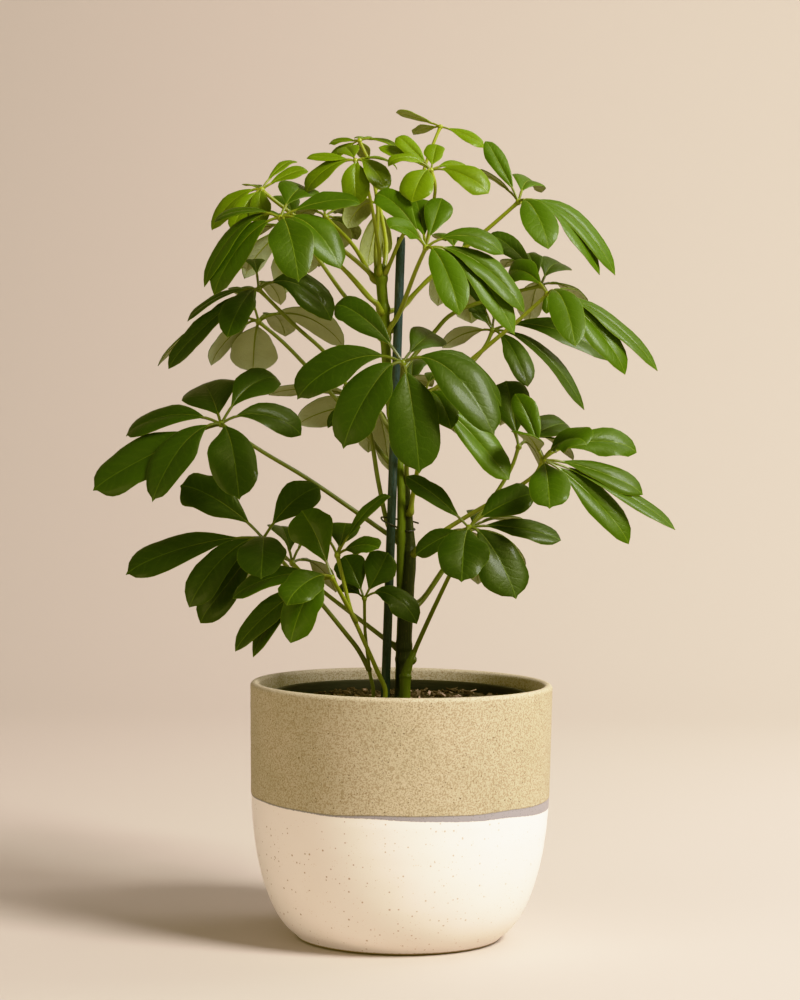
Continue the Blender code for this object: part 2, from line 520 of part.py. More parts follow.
def nearest_on(route, point):
    """The place and radius on a stem's route that is level with a point."""
    for low, high in zip(route, route[1:]):
        if low.z <= point.z <= high.z:
            share = (point.z - low.z) / (high.z - low.z)
            return low.lerp(high, share)
    return min(route, key=lambda end: abs(end.z - point.z))


def size_share(leaf):
    return 1 if leaf.reach > SMALL_REACH else SMALL_SHARE


def petiole_route(leaf, stems):
    """(x, y, z, radius) points from the stem's skin, or from the route's own start, to the hub."""
    points = [place(*point) for point in (*leaf.route, leaf.hub)]
    radius = PETIOLE_RADIUS * size_share(leaf)
    if leaf.grows_from:
        level = min(points[0].z - ROOT_DROP, stems[leaf.grows_from][-1].z - ROOT_DROP / 2)
        on_stem = nearest_on(stems[leaf.grows_from], Vector((0, 0, level)))
        centre = Vector(on_stem[:3])
        out = points[0] - centre
        out.z = 0
        out.normalize()
        steep = abs((points[0] - centre - out * (on_stem[3] + radius)).normalized().z)
        points.insert(0, centre + out * (on_stem[3] + GAP + PETIOLE_TAPER[0] * radius * steep))
    routed = smooth_route(points, 1 if len(points) > LONG_ROUTE else 2)
    foot, top = PETIOLE_TAPER
    count = len(routed) - 1
    return [Vector((*point, radius * (foot + (top - foot) * i / count))) for i, point in enumerate(routed)]


def outline(share):
    """Half width at a share of the blade, against its greatest: a long base and a blunt tip."""
    if share < BROADEST:
        return math.sin(math.pi / 2 * share / BROADEST) ** 1.1
    return math.sqrt(max(1 - ((share - BROADEST) / (1 - BROADEST)) ** 2, 0))


class Leaflet:
    """One stalked leaflet: an arched, folded blade from the hub to its tip."""

    def __init__(self, hub, tip, width, face, arch, roll):
        self.half = FULLNESS * width / 2
        self.rows = SMALL_ROWS if width < SMALL_WIDTH else ROWS
        chord = tip - hub
        level = Vector((chord.x, chord.y, 0))
        lift = UP * arch * (0.35 * chord.length + 0.65 * level.length)
        self.bends = (hub, hub + 0.3 * chord + lift, hub + 0.74 * chord + 0.85 * lift, tip)
        outwards = level.normalized() if level.length > 0 else Vector((0, 0, 0))
        self.hint = UP + 0.5 * outwards + (face + roll) * TOWARDS_EYE

    def middle(self, share):
        a, b, c, d = self.bends
        rest = 1 - share
        return a * rest ** 3 + 3 * b * rest ** 2 * share + 3 * c * rest * share ** 2 + d * share ** 3

    def along(self, share):
        low, high = max(share - 0.02, 0), min(share + 0.02, 1)
        return (self.middle(high) - self.middle(low)).normalized()

    def point(self, across, share):
        """The blade's surface, with across from -1 at one edge to 1 at the other."""
        blade = max((share - STALK_SHARE) / (1 - STALK_SHARE), 0)
        half = max(self.half * outline(blade), STALK_WIDTH / 2 * (1 - blade))
        along = self.along(share)
        side = along.cross(self.hint).normalized()
        rise = FOLD * (1 - 1.2 * blade) * abs(across) * half if blade > 0 else 0
        return self.middle(share) + side * across * half + side.cross(along) * rise


def sheet(leaflet, rows, grow=0.0):
    """A bmesh of the leaflet's middle sheet: two quads wide, one at its stalk, pointed at its tip."""
    bm = bmesh.new()
    bmesh.ops.create_grid(bm, x_segments=2, y_segments=len(rows) - 1, size=1)
    for vert in bm.verts:
        across = round(vert.co.x)
        row = round((vert.co.y + 1) / 2 * (len(rows) - 1))
        if rows[row] <= STALK_SHARE and across == 0:
            across = -1
        if rows[row] == 1:
            across = 0
        vert.co = leaflet.point(across * (1 + grow / leaflet.half), rows[row])
    bmesh.ops.remove_doubles(bm, verts=bm.verts, dist=0.02 * MM)
    bmesh.ops.triangulate(bm, faces=bm.faces)
    return bm


def solid(bm, thickness):
    """The sheet thickened evenly on both sides, with its two faces split alike."""
    bm.normal_update()
    for vert in bm.verts:
        vert.co += vert.normal * thickness / 2
    bmesh.ops.solidify(bm, geom=bm.faces, thickness=thickness)
    bmesh.ops.recalc_face_normals(bm, faces=bm.faces)
    bmesh.ops.triangulate(bm, faces=bm.faces)


def tree(leaflet, rows, clearance=0.0):
    """A search tree of the leaflet's middle sheet, or of all that lies within a clearance of it."""
    bm = sheet(leaflet, rows, clearance)
    if clearance:
        solid(bm, 2 * clearance)
    made = BVHTree.FromBMesh(bm)
    bm.free()
    return made


class Thicket:
    """What already stands in the plant: leaflets as sheets, and stems as balls along a route."""

    def __init__(self):
        self.sheets = []
        self.balls = []

    def add_route(self, owner, route):
        for low, high in zip(route, route[1:]):
            steps = max(int((high - low).length / BALL_SPACING), 1)
            for step in range(steps):
                x, y, z, radius = low.lerp(high, step / steps)
                self.balls.append((owner, Vector((x, y, z)), radius))

    def add_sheet(self, owner, leaflet):
        self.sheets.append((owner, tree(leaflet, leaflet.rows), tree(leaflet, leaflet.rows[2:])))

    def crossings(self, owner, leaflet):
        """How many pieces the leaflet would touch."""
        whole = tree(leaflet, leaflet.rows, CLEARANCE)
        blade = tree(leaflet, leaflet.rows[2:], SISTER_CLEARANCE)
        middle = tree(leaflet, leaflet.rows)
        found = 0
        for other, other_whole, other_blade in self.sheets:
            mine, theirs = (blade, other_blade) if other == owner else (whole, other_whole)
            found += bool(mine.overlap(theirs))
        for other, centre, radius in self.balls:
            if other != owner and middle.find_nearest(centre, radius + CLEARANCE)[0] is not None:
                found += 1
        return found


def settle(leaf, hub, tip, width, face, arch, roll, thicket):
    """The leaflet with its tip swung back or forward, along the line of sight, until it is clear."""
    across, up, swing = tip
    flat = place(across, up, leaf.hub[2])
    unseen = math.sqrt(max((leaf.reach * MM) ** 2 - (flat - hub).length_squared, LEAST_DEPTH ** 2))
    best = None
    trials = sorted(itertools.product(MORE_SWINGS, MORE_ARCHES),
                    key=lambda trial: abs(trial[0]) + 0.5 * abs(trial[1] - 1))
    for more_swing, more_arch in trials:
        if abs(swing + more_swing) > MOST_SWING:
            continue
        back = leaf.hub[2] + (swing + more_swing) * unseen / MM
        made = Leaflet(hub, place(across, up, back), width, face, more_arch * arch, roll)
        found = thicket.crossings(leaf.name, made)
        if best is None or found < best[0]:
            best = (found, made)
        if found == 0:
            break
    return best


def plan_leaves(stems, thicket):
    """Every leaf's petiole and leaflets, each leaflet bent clear of what was placed before it."""
    draw = random.Random(SEED)
    petioles = {leaf.name: petiole_route(leaf, stems) for leaf in LEAVES}
    for name, route in petioles.items():
        thicket.add_route(name, route)
    leaflets = {leaf.name: [] for leaf in LEAVES}
    crossed = []
    for leaf in LEAVES:
        hub = Vector(petioles[leaf.name][-1][:3])
        for across, up, swing, width, face, arch in leaf.leaflets:
            arched = ARCH * arch * draw.uniform(0.75, 1.25)
            roll = draw.uniform(-0.15, 0.15)
            found, made = settle(leaf, hub, (across, up, swing), width * MM, face, arched, roll, thicket)
            if found:
                crossed.append((leaf.name, across, up, found))
            thicket.add_sheet(leaf.name, made)
            leaflets[leaf.name].append(made)
    return petioles, leaflets, crossed


def make_leaves(collection, pieces, petioles, leaflets):
    """Join each leaf's petiole, hub and leaflets to one solid, or to the shoot that it shares."""
    nodes = {}
    for leaf in LEAVES:
        nodes.setdefault(leaf.node or leaf.name, []).append(leaf)
    for node, leaves in nodes.items():
        base = tube(node, petioles[leaves[0].name], collection, sides_level=0)
        for leaf in leaves:
            hub = petioles[leaf.name][-1]
            if leaf is not leaves[0]:
                tube(leaf.name, petioles[leaf.name], pieces, sides_level=0)
            bpy.ops.mesh.primitive_ico_sphere_add(
                subdivisions=1, radius=HUB_RADIUS * size_share(leaf), location=hub[:3])
            knot = bpy.context.object
            bpy.context.collection.objects.unlink(knot)
            pieces.objects.link(knot)
            for leaflet in leaflets[leaf.name]:
                mesh = bpy.data.meshes.new("leaflet")
                bm = sheet(leaflet, leaflet.rows)
                solid(bm, BLADE_THICKNESS)
                bm.to_mesh(mesh)
                bm.free()
                new_object("leaflet", mesh, pieces)
        boolean(base, "UNION", pieces, "MANIFOLD")
        finish(base, leaves[0].colour, 0.35)


def make_stems(collection, pieces, stems):
    trunk = tube("trunk", stems["trunk"], collection, sides_level=2)
    tube("branch", stems["branch"], pieces, sides_level=2)
    boolean(trunk, "UNION", pieces, "MANIFOLD")
    finish(trunk, BARK, 0.6)


def make_stake(collection):
    low, high = place(*STAKE_FOOT), place(*STAKE_TOP)
    foot = low + (low - high) * (low.z - SOIL_TOP + STAKE_DEPTH) / (high.z - low.z)
    route = [Vector((*point, STAKE_RADIUS)) for point in (foot, high, high + (high - low).normalized() * MM)]
    route[-1][3] = 0.7 * STAKE_RADIUS
    finish(tube("stake", route, collection, sides_level=2), STAKE_GREEN, 0.5)
    return route


def make_tie(collection, stems, stake):
    """One turn of wire round the stake, the branch and the trunk."""
    level = place(0, TIE_HEIGHT, 0).z
    left = nearest_on(stake, Vector((0, 0, level)))
    right = nearest_on(stems["trunk"], Vector((0, 0, level)))
    centre = (Vector(left[:3]) + Vector(right[:3])) / 2
    span = (Vector(right[:3]) - Vector(left[:3])).normalized()
    side = UP.cross(span).normalized()
    route = []
    for step in range(TIE_POINTS):
        angle = 2 * math.pi * step / TIE_POINTS
        point = (centre + span * TIE_HALF_LENGTH * MM * math.cos(angle)
                 + side * TIE_HALF_WIDTH * MM * math.sin(angle))
        route.append(Vector((point.x, point.y, level + 1.2 * MM * math.sin(angle), WIRE_RADIUS)))
    finish(tube("wire_tie", route, collection, sides_level=0, closed=True), WIRE_BLACK, 0.5)
    return route + route[:1]


def main():
    for made in list(bpy.data.objects):
        bpy.data.objects.remove(made)
    scene = bpy.context.scene.collection
    collection = bpy.data.collections.new("potted_umbrella_plant")
    cutters = bpy.data.collections.new("cutters")
    pieces = bpy.data.collections.new("pieces_to_join")
    for made in (collection, cutters, pieces):
        scene.children.link(made)

    stems = {"trunk": stem_route(TRUNK, in_soil=True), "branch": stem_route(BRANCH)}
    make_stems(collection, pieces, stems)
    stake = make_stake(collection)
    tie = make_tie(collection, stems, stake)
    make_planter(collection)
    make_nursery_pot(collection, cutters)

    thicket = Thicket()
    for owner, route in (*stems.items(), ("stake", stake), ("tie", tie)):
        thicket.add_route(owner, route)
    petioles, leaflets, crossed = plan_leaves(stems, thicket)
    for name in SHOOTS:
        petioles[name] = with_foot(petioles[name])
    make_leaves(collection, pieces, petioles, leaflets)

    holes = [hole_for(route) for route in (stems["trunk"], *(petioles[name] for name in SHOOTS))]
    down = Vector(stake[0][:3]) - Vector(stake[1][:3])
    above = nearest_on(stake, Vector((0, 0, SOIL_TOP + 10 * MM)))
    holes.append((Vector(stake[0][:3]) + down.normalized() * GAP, Vector(above[:3]),
                  STAKE_RADIUS + 1.4 * GAP))
    make_soil(collection, cutters, holes)
    for made in (cutters, pieces):
        bpy.data.collections.remove(made)
    return crossed


if __name__ == "__main__":
    main()
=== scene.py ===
"""Potted umbrella plant: the looks of every piece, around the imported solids.

The leaves are laid out as they are seen from the front, from a point VIEW_DISTANCE away at the
height EYE: a place is (across, up, back) in millimetres, read in the upright plane through the
planter's axis, and then pushed back along the line of sight.
"""

import itertools
import math
import random
from collections import namedtuple

import bmesh
import bpy
from bpy.props import FloatProperty, FloatVectorProperty, IntProperty, PointerProperty
from mathutils import Matrix, Vector, noise
from mathutils.bvhtree import BVHTree


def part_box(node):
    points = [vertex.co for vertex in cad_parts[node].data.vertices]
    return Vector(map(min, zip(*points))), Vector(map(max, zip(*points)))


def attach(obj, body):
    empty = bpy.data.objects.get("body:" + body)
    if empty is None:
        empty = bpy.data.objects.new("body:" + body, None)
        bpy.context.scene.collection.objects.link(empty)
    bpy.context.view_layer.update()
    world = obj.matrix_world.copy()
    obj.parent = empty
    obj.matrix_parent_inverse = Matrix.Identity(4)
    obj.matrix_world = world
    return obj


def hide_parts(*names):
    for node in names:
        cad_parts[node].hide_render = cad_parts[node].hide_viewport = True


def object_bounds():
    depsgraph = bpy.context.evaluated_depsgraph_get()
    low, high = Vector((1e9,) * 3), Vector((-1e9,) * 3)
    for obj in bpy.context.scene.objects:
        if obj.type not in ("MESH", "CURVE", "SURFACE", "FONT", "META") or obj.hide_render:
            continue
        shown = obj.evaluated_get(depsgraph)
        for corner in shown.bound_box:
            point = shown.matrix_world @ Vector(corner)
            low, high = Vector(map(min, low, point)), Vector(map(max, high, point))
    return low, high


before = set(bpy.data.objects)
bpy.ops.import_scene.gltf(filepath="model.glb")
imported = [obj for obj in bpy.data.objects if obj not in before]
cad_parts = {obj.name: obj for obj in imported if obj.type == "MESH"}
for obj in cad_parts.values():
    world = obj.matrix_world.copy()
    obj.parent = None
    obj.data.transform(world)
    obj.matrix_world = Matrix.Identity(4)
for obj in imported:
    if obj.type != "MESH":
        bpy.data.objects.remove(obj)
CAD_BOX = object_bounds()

bl_info = {
    "name": "Potted Umbrella Plant",
    "version": (1, 0, 0),
    "blender": (4, 5, 0),
    "location": "3D View > Sidebar > Umbrella Plant",
    "description": "Builds a staked umbrella plant in a two-glaze stoneware planter",
    "category": "Add Mesh",
}

MM = 0.001
GAP = 0.3 * MM
UP = Vector((0, 0, 1))
TOWARDS_EYE = Vector((0, -1, 0))
BODY = "root"

# The view that the plant is laid out for
VIEW_DISTANCE = 1.6
EYE = 0.315

# Planter
PLANTER_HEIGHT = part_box("planter")[1].z
PLANTER_WALL = 5.2 * MM
LIP = PLANTER_WALL / 2
FOOT_RADIUS = 51.5 * MM
FOOT_TOP = 2.4 * MM
RIM_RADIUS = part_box("planter")[1].x
BELLY_RADIUS = 86.6 * MM
BELLY_HEIGHT = 92 * MM
BELLY_ROUNDNESS = 2.1
FLOOR_THICKNESS = 8 * MM
SIDE_ROWS = 60
INNER_ROWS = 24
# Both glazes together, and the height over which the edge of each fades out
GLAZE_THICKNESS = 0.26 * MM
UPPER_THICKNESS = 0.16 * MM
UNDER_THICKNESS = 0.1 * MM
GLAZE_FADE = 0.35 * MM

# Nursery pot
POT_FOOT = FLOOR_THICKNESS + GAP
POT_RIM_RADIUS = 74.5 * MM
POT_RIM_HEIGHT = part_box("nursery_pot")[1].z
POT_BAND = POT_RIM_HEIGHT - 9 * MM
POT_BEAD = 1.1 * MM
POT_FOOT_RADIUS = 50 * MM
POT_WALL = 1.4 * MM
POT_FLOOR = POT_FOOT + 1.6 * POT_WALL
DRAIN_HOLES = 5
DRAIN_RADIUS = 4.5 * MM
DRAIN_CIRCLE = 33 * MM

# Soil, with crumbs and bark chips strewn on it
SOIL_TOP = 136.5 * MM
SOIL_BUMP = 1.6 * MM
SOIL_WAVES = ((190, 0, 1.3, 0.4), (0, 160, 1.1, 0.3), (250, 310, 0, 0.3), (420, -130, 2, 0.2))
SOIL_RINGS = 42
SOIL_SIDES = 120
SOIL_SEED = 3
CRUMBS = 520
CHIPS = 170
# The share of the chips that is left out on the left half, the least and greatest of a chip's three
# sides in millimetres, and the share of the last that its edges lose
BARE_SHARE = 0.45
CHIP_SIDES = ((2, 6), (0.9, 2.2), (0.5, 1.1))
CHIP_WEAR = 0.17

# Stems, stake and tie
STEM_DEPTH = 28 * MM
STAKE_DEPTH = 95 * MM
STAKE_ROWS = 90
# Heights of the stake's knot and of the groove over it
STAKE_KNOT = 0.338
STAKE_GROOVE = 0.3415
STAKE_RADIUS = 2.6 * MM
WIRE_RADIUS = 0.5 * MM
PETIOLE_RADIUS = 1.15 * MM
# The petiole's thickness at its foot and at its hub, as shares of the usual one
PETIOLE_TAPER = (1.25, 0.95)
ROOT_DROP = 4 * MM
LONG_ROUTE = 4
HUB_RADIUS = 2.1 * MM
SMALL_REACH = 40
SMALL_SHARE = 0.82

# Leaflets, as they are laid out
STALK_WIDTH = 2.0 * MM
STALK_SHARE = 0.17
ROWS = (0, STALK_SHARE, 0.42, 0.66, 0.88, 1)
SMALL_ROWS = (0, STALK_SHARE, 0.5, 0.82, 1)
SMALL_WIDTH = 20.2 * MM
FULLNESS = 1.12
BROADEST = 0.58
ARCH = 0.27
FOLD = 0.24
CLEARANCE = 1.25 * MM
SISTER_CLEARANCE = 1 * MM
MORE_SWINGS = (0, 0.12, -0.12, 0.25, -0.25, 0.4, -0.4, 0.6, -0.6, 0.85, -0.85)
MORE_ARCHES = (1, 0.6, 1.4)
MOST_SWING = 1.1
LEAST_DEPTH = 9 * MM
BALL_SPACING = 2 * MM
SEED = 11

Leaf = namedtuple("Leaf", "name node grows_from route hub reach colour leaflets")

# A stem is a route of (across, up, back, radius). The first point stands in the soil.
TRUNK = ((0.4, 144, 3, 4.3), (1.2, 172, 3, 4.5), (2.2, 200, 3, 4.6), (3.2, 215, 3.4, 4.4),
         (3.5, 227, 4, 3.7), (3.2, 241, 4.2, 2.5), (2.0, 262, 3, 1.5))
BRANCH = ((0.6, 180, 2, 2.2), (-1.3, 203, 2.0, 2.3), (-1.5, 232, 2.0, 2.3), (-1.7, 262, 3, 2.3),
          (-4.2, 284, 4.4, 2.4), (-8, 305, 4.6, 2.6), (-10.6, 330, 4, 2.8), (-12.4, 358, 3, 3.0),
          (-14, 374, 2, 3.1), (-15, 387, 2, 3.1))
# The green shoot at the trunk's foot, which ends in a ring below the right base leaf
STUB = ((2.3, 134, -2.2, 3.3), (2.2, 144, -2.0, 3.1), (2.4, 151, -1.6, 3.2), (3.5, 156, -0.8, 2.7),
        (5.2, 161, -0.4, 2.0), (7.0, 165.5, 0.8, 1.4))
STUB_RING = 151.5
STAKE_FOOT = (-9.2, 144, -3)
STAKE_TOP = (-3.4, 404, -3)
TIE_HEIGHT = 241
TIE_HALF_LENGTH = 10.2
TIE_HALF_WIDTH = 4.4
TIE_POINTS = 16
TIE_TILT = 1.2 * MM
# The wire's own line: a loop to the left of the stake, and a loose end to the right of the stems
WIRE = ((8.6, 240.2, 2.5), (6.6, 240.8, 5.0), (3.2, 241.6, 8.0), (-2, 242.2, 8.2), (-6.5, 242.7, 4.2),
        (-10.5, 243.3, 0.2), (-12.8, 243.3, -3.2), (-12, 241.6, -5.6), (-9.4, 240.1, -6.6),
        (-6.6, 239.0, -6.3), (-4.3, 238.0, -3.2), (-3.2, 237.2, 1.8), (-1.2, 236.4, 3.2),
        (0.9, 235.8, 1.7), (3.0, 235.4, 0.9), (5.3, 235.8, 2.0), (6.6, 236.6, 4.6), (5.0, 237.4, 7.6))

SHOOTS = ("leaf_shoot_upper", "leaf_thin_shoot")

# Each leaflet is (across, up, swing, width, face, arch). Swing is how much of the length that
# isn't seen from the front goes back, or if negative forward. Face is how far the blade turns
# its top to the front, or if negative away from it. Arch is a share of the usual one.
LEAVES = (
    Leaf("leaf_crown_top", None, "branch",
         ((-9, 391, -4), (-5, 401, -9), (0, 411, -12), (5, 426, -12), (10, 446, -10), (15, 460, -8)),
         (18.5, 468.5, -6), 34, "lime",
         ((-7, 477, 0.3, 8, -0.4, 0.2), (3, 465, 0.5, 7, -0.6, 0.2), (44, 458, -0.2, 9, 1, 0.3))),
    Leaf("leaf_crown_front", None, "branch",
         ((-7, 356, 2.4), (-2, 367, 2.2), (5, 385, -3), (11, 400, -12), (14, 418, -30), (16, 434, -41)),
         (13.5, 443.5, -43), 40, "lime",
         ((-7, 463, 0.2, 10, 0.6, 0.6), (16.5, 459, 0.5, 10, 2, 0.2), (37, 444, 0.4, 10, 0.7, 0.9),
          (47, 431, -0.2, 15, 1.6, 1), (2.5, 426, -0.7, 17, 1.5, 0.9), (-17, 457, 0.4, 9, 0.5, 0.2),
          (-12, 447, -0.3, 8, 0.8, 1))),
    Leaf("leaf_upper_front", None, "branch",
         ((-10, 351, -6), (-5, 359, -11), (-1.5, 367, -20), (5, 385, -48)),
         (11, 399, -70), 66, "fresh",
         ((-10, 411, -0.35, 14, 1.4, 0.9), (-19, 430, 0.25, 14, 1.2, 0.9), (4, 428, 0.55, 15, 1.4, 0.4),
          (20, 428, 0.5, 14, 1.5, 0.5), (56, 396, 0.1, 15, 1, 1.1), (69, 363, -0.1, 15, 1.3, 1.5),
          (63, 350, -0.35, 15, 1.6, 1.1), (31, 361, -0.6, 17, 1.5, 1.3))),
    Leaf("leaf_crown_right", None, "branch",
         ((-5, 358, 8), (-1, 366, 7), (8, 376, 5), (16, 384, 4), (45, 409, 0)),
         (64, 426, -2), 56, "fresh",
         ((44.5, 461, 0.3, 10, 0.2, 0.4), (37, 443, 0.5, 8, -0.6, 0.6), (75, 434, 0.8, 18, 1.8, 1),
          (82, 400, -0.7, 18, 1.1, 1.4), (121, 385, 0.2, 14, 1.1, 1), (112, 385, -0.25, 13, 0.8, 1.2))),
    Leaf("leaf_right_back", None, "branch",
         ((-2, 328, 12), (5, 337, 19), (16, 350, 22), (28, 362, 23), (55, 372, 22)),
         (77.5, 378, 19), 54, "dark",
         ((46, 407, 0.3, 12, 0.9, 0.7), (69, 397, 0.6, 12, 0.9, 1), (91, 390, 0.7, 17, 1.2, 0.6),
          (56, 390, 0.9, 12, -0.5, 1), (104, 368, 0.6, 14, 0.2, 1), (71, 357, 0.9, 15, 0.5, 1))),
    Leaf("leaf_right_upper", None, "branch",
         ((-1, 307, 6), (9, 313, 1), (20, 320, -6), (41, 337.5, -13), (52, 347, -16), (65, 358, -20)),
         (81.5, 373, -24), 68, "fresh",
         ((57, 385, 0.35, 17, 1.6, 1.3), (101, 369, 0.8, 10, -0.2, 0.4), (146, 330, 0.1, 13, 0.9, 1),
          (128, 328, -0.4, 18, 1.2, 1.2), (98, 343.5, -0.7, 17, 1.1, 1.2), (81, 362, -0.1, 5, 0.3, 1))),
    Leaf("leaf_right_inner", None, "branch",
         ((2, 298, 8), (18, 315, 14), (38, 333, 23), (46, 343, 27)),
         (50, 352, 29), 60, "dark",
         ((31, 391, 0.4, 13, 1, 1), (36, 366, -0.2, 9, 0.5, 1), (21, 342, 0.2, 11, -1.2, 0.7),
          (53, 364, 0.8, 10, -0.4, 1), (117, 336, 0.2, 15, 1.3, 0.7), (104, 307, 0, 12, 0.7, 1.1),
          (71, 320, -0.45, 14, 0.9, 1.3))),
    Leaf("leaf_front", None, None,
         ((2, 262.5, 3), (1.5, 269, 1), (1.2, 278, -7), (-1, 292, -33), (-2.5, 310, -65)),
         (-1.5, 332.5, -87), 68, "dark",
         ((-42, 366, 0.35, 17, 1.2, 0.7), (-63, 311.5, -0.2, 21, 1.6, 1.3), (-36, 283, -0.4, 24, 1.8, 1.8),
          (9, 269, -0.35, 26, 2.2, 1.4), (52, 291, -0.55, 24, 1.7, 1.7), (57, 309, 0.35, 18, 1.1, 1.4),
          (18, 350, 0.8, 18, 1.7, 0.5))),
    Leaf("leaf_front_lower", None, "trunk",
         ((4.6, 251, -1), (5.4, 257, -4), (6.8, 265, -11), (8.5, 278, -27), (10.5, 298, -42)),
         (12, 316, -51), 60, "fresh",
         ((61, 266, -0.15, 19, 1.5, 0.2), (27, 295, -0.3, 15, 1.1, 1.1), (20, 323, 0.6, 12, -0.5, 1),
          (-6, 292, -0.1, 14, 0.6, 1))),
    Leaf("leaf_middle_back", None, "branch",
         ((-10, 296, 14), (-13, 301, 36)),
         (-16, 308, 64), 62, "dark",
         ((-79, 314, 0.2, 12, -0.7, 0.4), (-62, 297, 0.3, 20, -1.2, 0.5), (-21, 281, 0.5, 17, -1.1, 1),
          (-8.5, 270.5, 0.4, 13, -0.6, 1.1), (-45, 295, -0.2, 12, 0.4, 1), (16, 320, 0.6, 14, -0.4, 1))),
    Leaf("leaf_crown_left", None, "branch",
         ((-17, 367, -4), (-22, 370.5, -7), (-37, 387, -18), (-56, 402, -33)),
         (-73, 415, -46), 56, "fresh",
         ((-112, 413, 0, 12, 0.3, 1), (-112, 371, -0.3, 18, 1.1, 1.3), (-118, 375.5, 0.35, 12, 0.7, 1.3),
          (-62, 379, -0.7, 22, 1.8, 1.3), (-38, 386.5, -0.3, 19, 1.3, 1.5), (-26.5, 425, 0.1, 14, 0.9, 0.7),
          (-57, 432, 0.6, 22, 0.7, 1))),
    Leaf("leaf_crown_left_back", None, "branch",
         ((-17, 352, 8), (-34, 369, 14), (-51, 392, 22)),
         (-64, 408, 27), 48, "fresh",
         ((-94.5, 380.5, 0.1, 15, -0.8, 1.2), (-96, 412, 0.6, 14, 0.1, 1), (-56, 384, 0.4, 16, -0.4, 1),
          (-44, 404, 0.8, 14, -0.3, 1), (-72, 428, 0.7, 14, 0.2, 1))),
    Leaf("leaf_crown_inner", None, "branch",
         ((-16, 397, -4), (-20, 420, -12), (-24, 436, -19)),
         (-30, 448.5, -27), 34, "lime",
         ((-58.5, 450.5, 0.1, 8, 0.8, 0.2), (-59, 431, -0.2, 12, 0.9, 0.9),
          (-30, 422.5, -0.6, 14, 1.4, 1.4), (-12, 431, -0.4, 13, 1.1, 1.2), (-5, 445, 0.2, 8, 0.4, 0.9),
          (-37, 457, 0.7, 11, 1, 0.2))),
    Leaf("leaf_crown_upper", None, "branch",
         ((-18, 396, 8), (-17, 420, 9), (-21, 444, 9)),
         (-28, 460, 8), 31, "lime",
         ((-46, 459, 0.3, 8, 0.4, 0.2), (-47, 447, 0.2, 10, 0.8, 0.6), (-25, 450, 0.6, 8, 0.4, 0.5),
          (0, 452, 0, 9, 0.2, 0.9), (-24, 462, 0.9, 9, 0.1, 0.2))),
    Leaf("leaf_crown_outer", None, "branch",
         ((-22, 385, 2), (-36, 396.5, 3), (-56, 410, 2), (-75, 424, 0)),
         (-84, 431, -3), 42, "lime",
         ((-57, 443.5, 0.3, 10, 0.5, 0.4), (-64, 448, 0.6, 7, 0.2, 0.7), (-113, 408, -0.1, 13, 0.8, 1),
          (-101, 408, -0.5, 11, 0.9, 1), (-85, 411, -0.6, 11, 1.2, 0.9), (-93, 434, 0.8, 9, -0.2, 0.2))),
    Leaf("leaf_crown_behind", None, "branch",
         ((-21, 384, 13), (-31, 400, 32)),
         (-47, 416, 50), 42, "fresh",
         ((-66, 414, 0.3, 12, -0.6, 1), (-32, 419, 0.3, 11, -0.6, 1), (-38, 397, 0.2, 17, -1, 1),
          (-28, 404, 0.4, 12, -0.8, 1), (-50, 428, 0.6, 11, -0.4, 0.2))),
    Leaf("leaf_crown_centre", None, "branch",
         ((-12, 395, 11), (-12.5, 405, 22)),
         (-16, 423, 43), 42, "lime",
         ((-35, 410, 0.3, 15, -1.2, 1.4), (-23, 388, 0.1, 13, -0.9, 1), (-13, 393, 0.4, 11, -0.9, 1),
          (2, 429, 0.5, 13, -0.4, 1), (-24, 444, 0.6, 13, -0.3, 1))),
    Leaf("leaf_left_upper", None, "branch",
         ((-9, 239, 9), (-15, 265, 11), (-21, 296, 11), (-33, 318, 6), (-46, 337.5, 0), (-64, 353.5, -9)),
         (-85, 374, -22), 56, "dark",
         ((-42, 357, 0.1, 20, 1.4, 1.4), (-127, 356, 0.1, 11, 0.5, 0.6), (-137.5, 328, -0.1, 14, 1, 1),
          (-130, 335, -0.4, 13, 1.3, 0.7), (-103, 346.5, -0.7, 16, 1.4, 1.1), (-72, 366, 0.9, 12, 0.2, 1),
          (-92, 386, 0.8, 13, 0.2, 1))),
    Leaf("leaf_left_back", None, "branch",
         ((-10, 276.5, 13), (-24, 294, 19), (-44, 316, 27), (-57, 330, 31), (-71, 344, 33)),
         (-85, 355.5, 33), 60, "dark",
         ((-144, 330, 0.2, 13, -0.3, 1), (-113, 330.5, 0.3, 14, -0.4, 1.2), (-88, 326, 0.4, 25, -1.1, 1),
          (-69, 348, 0.8, 17, 0, 0.8), (-35, 342, 0.3, 18, -0.9, 0.9), (-98, 372, 0.8, 14, 0.2, 1))),
    Leaf("leaf_left_low", None, "branch",
         ((-11, 235, 9), (-30, 248, 7), (-57, 266, -1), (-82, 280.5, -9)),
         (-106, 296, -16), 72, "dark",
         ((-117, 320, 0.75, 28, 2.2, 0.3), (-72, 323, 0.5, 20, 0.8, 0.8), (-59, 290.5, 0.3, 18, 1.4, 0.9),
          (-162, 289.5, 0.25, 21, 0.8, 0.8), (-180, 257, -0.2, 27, 1.6, 0.6),
          (-146, 251, -0.4, 22, 1.1, 1.4), (-95, 252.5, -0.6, 24, 1.8, 1.2))),
    Leaf("leaf_shoot_upper", "shoot_left", None,
         ((-9.5, 144, -12), (-14, 154, -13), (-18.5, 164, -14), (-25, 178, -16), (-30, 190, -19)),
         (-38, 221, -22), 46, "fresh",
         ((-8, 257, 0, 9, 0.2, 1), (-14, 225.5, -0.4, 14, 0.9, 0.6), (-33, 241, 0.7, 16, 0.5, 0.4),
          (-60, 236, 0.7, 17, 0.4, 0.9))),
    Leaf("leaf_shoot_lower", "shoot_left", None,
         ((-27, 183, -18), (-33, 194, -24)),
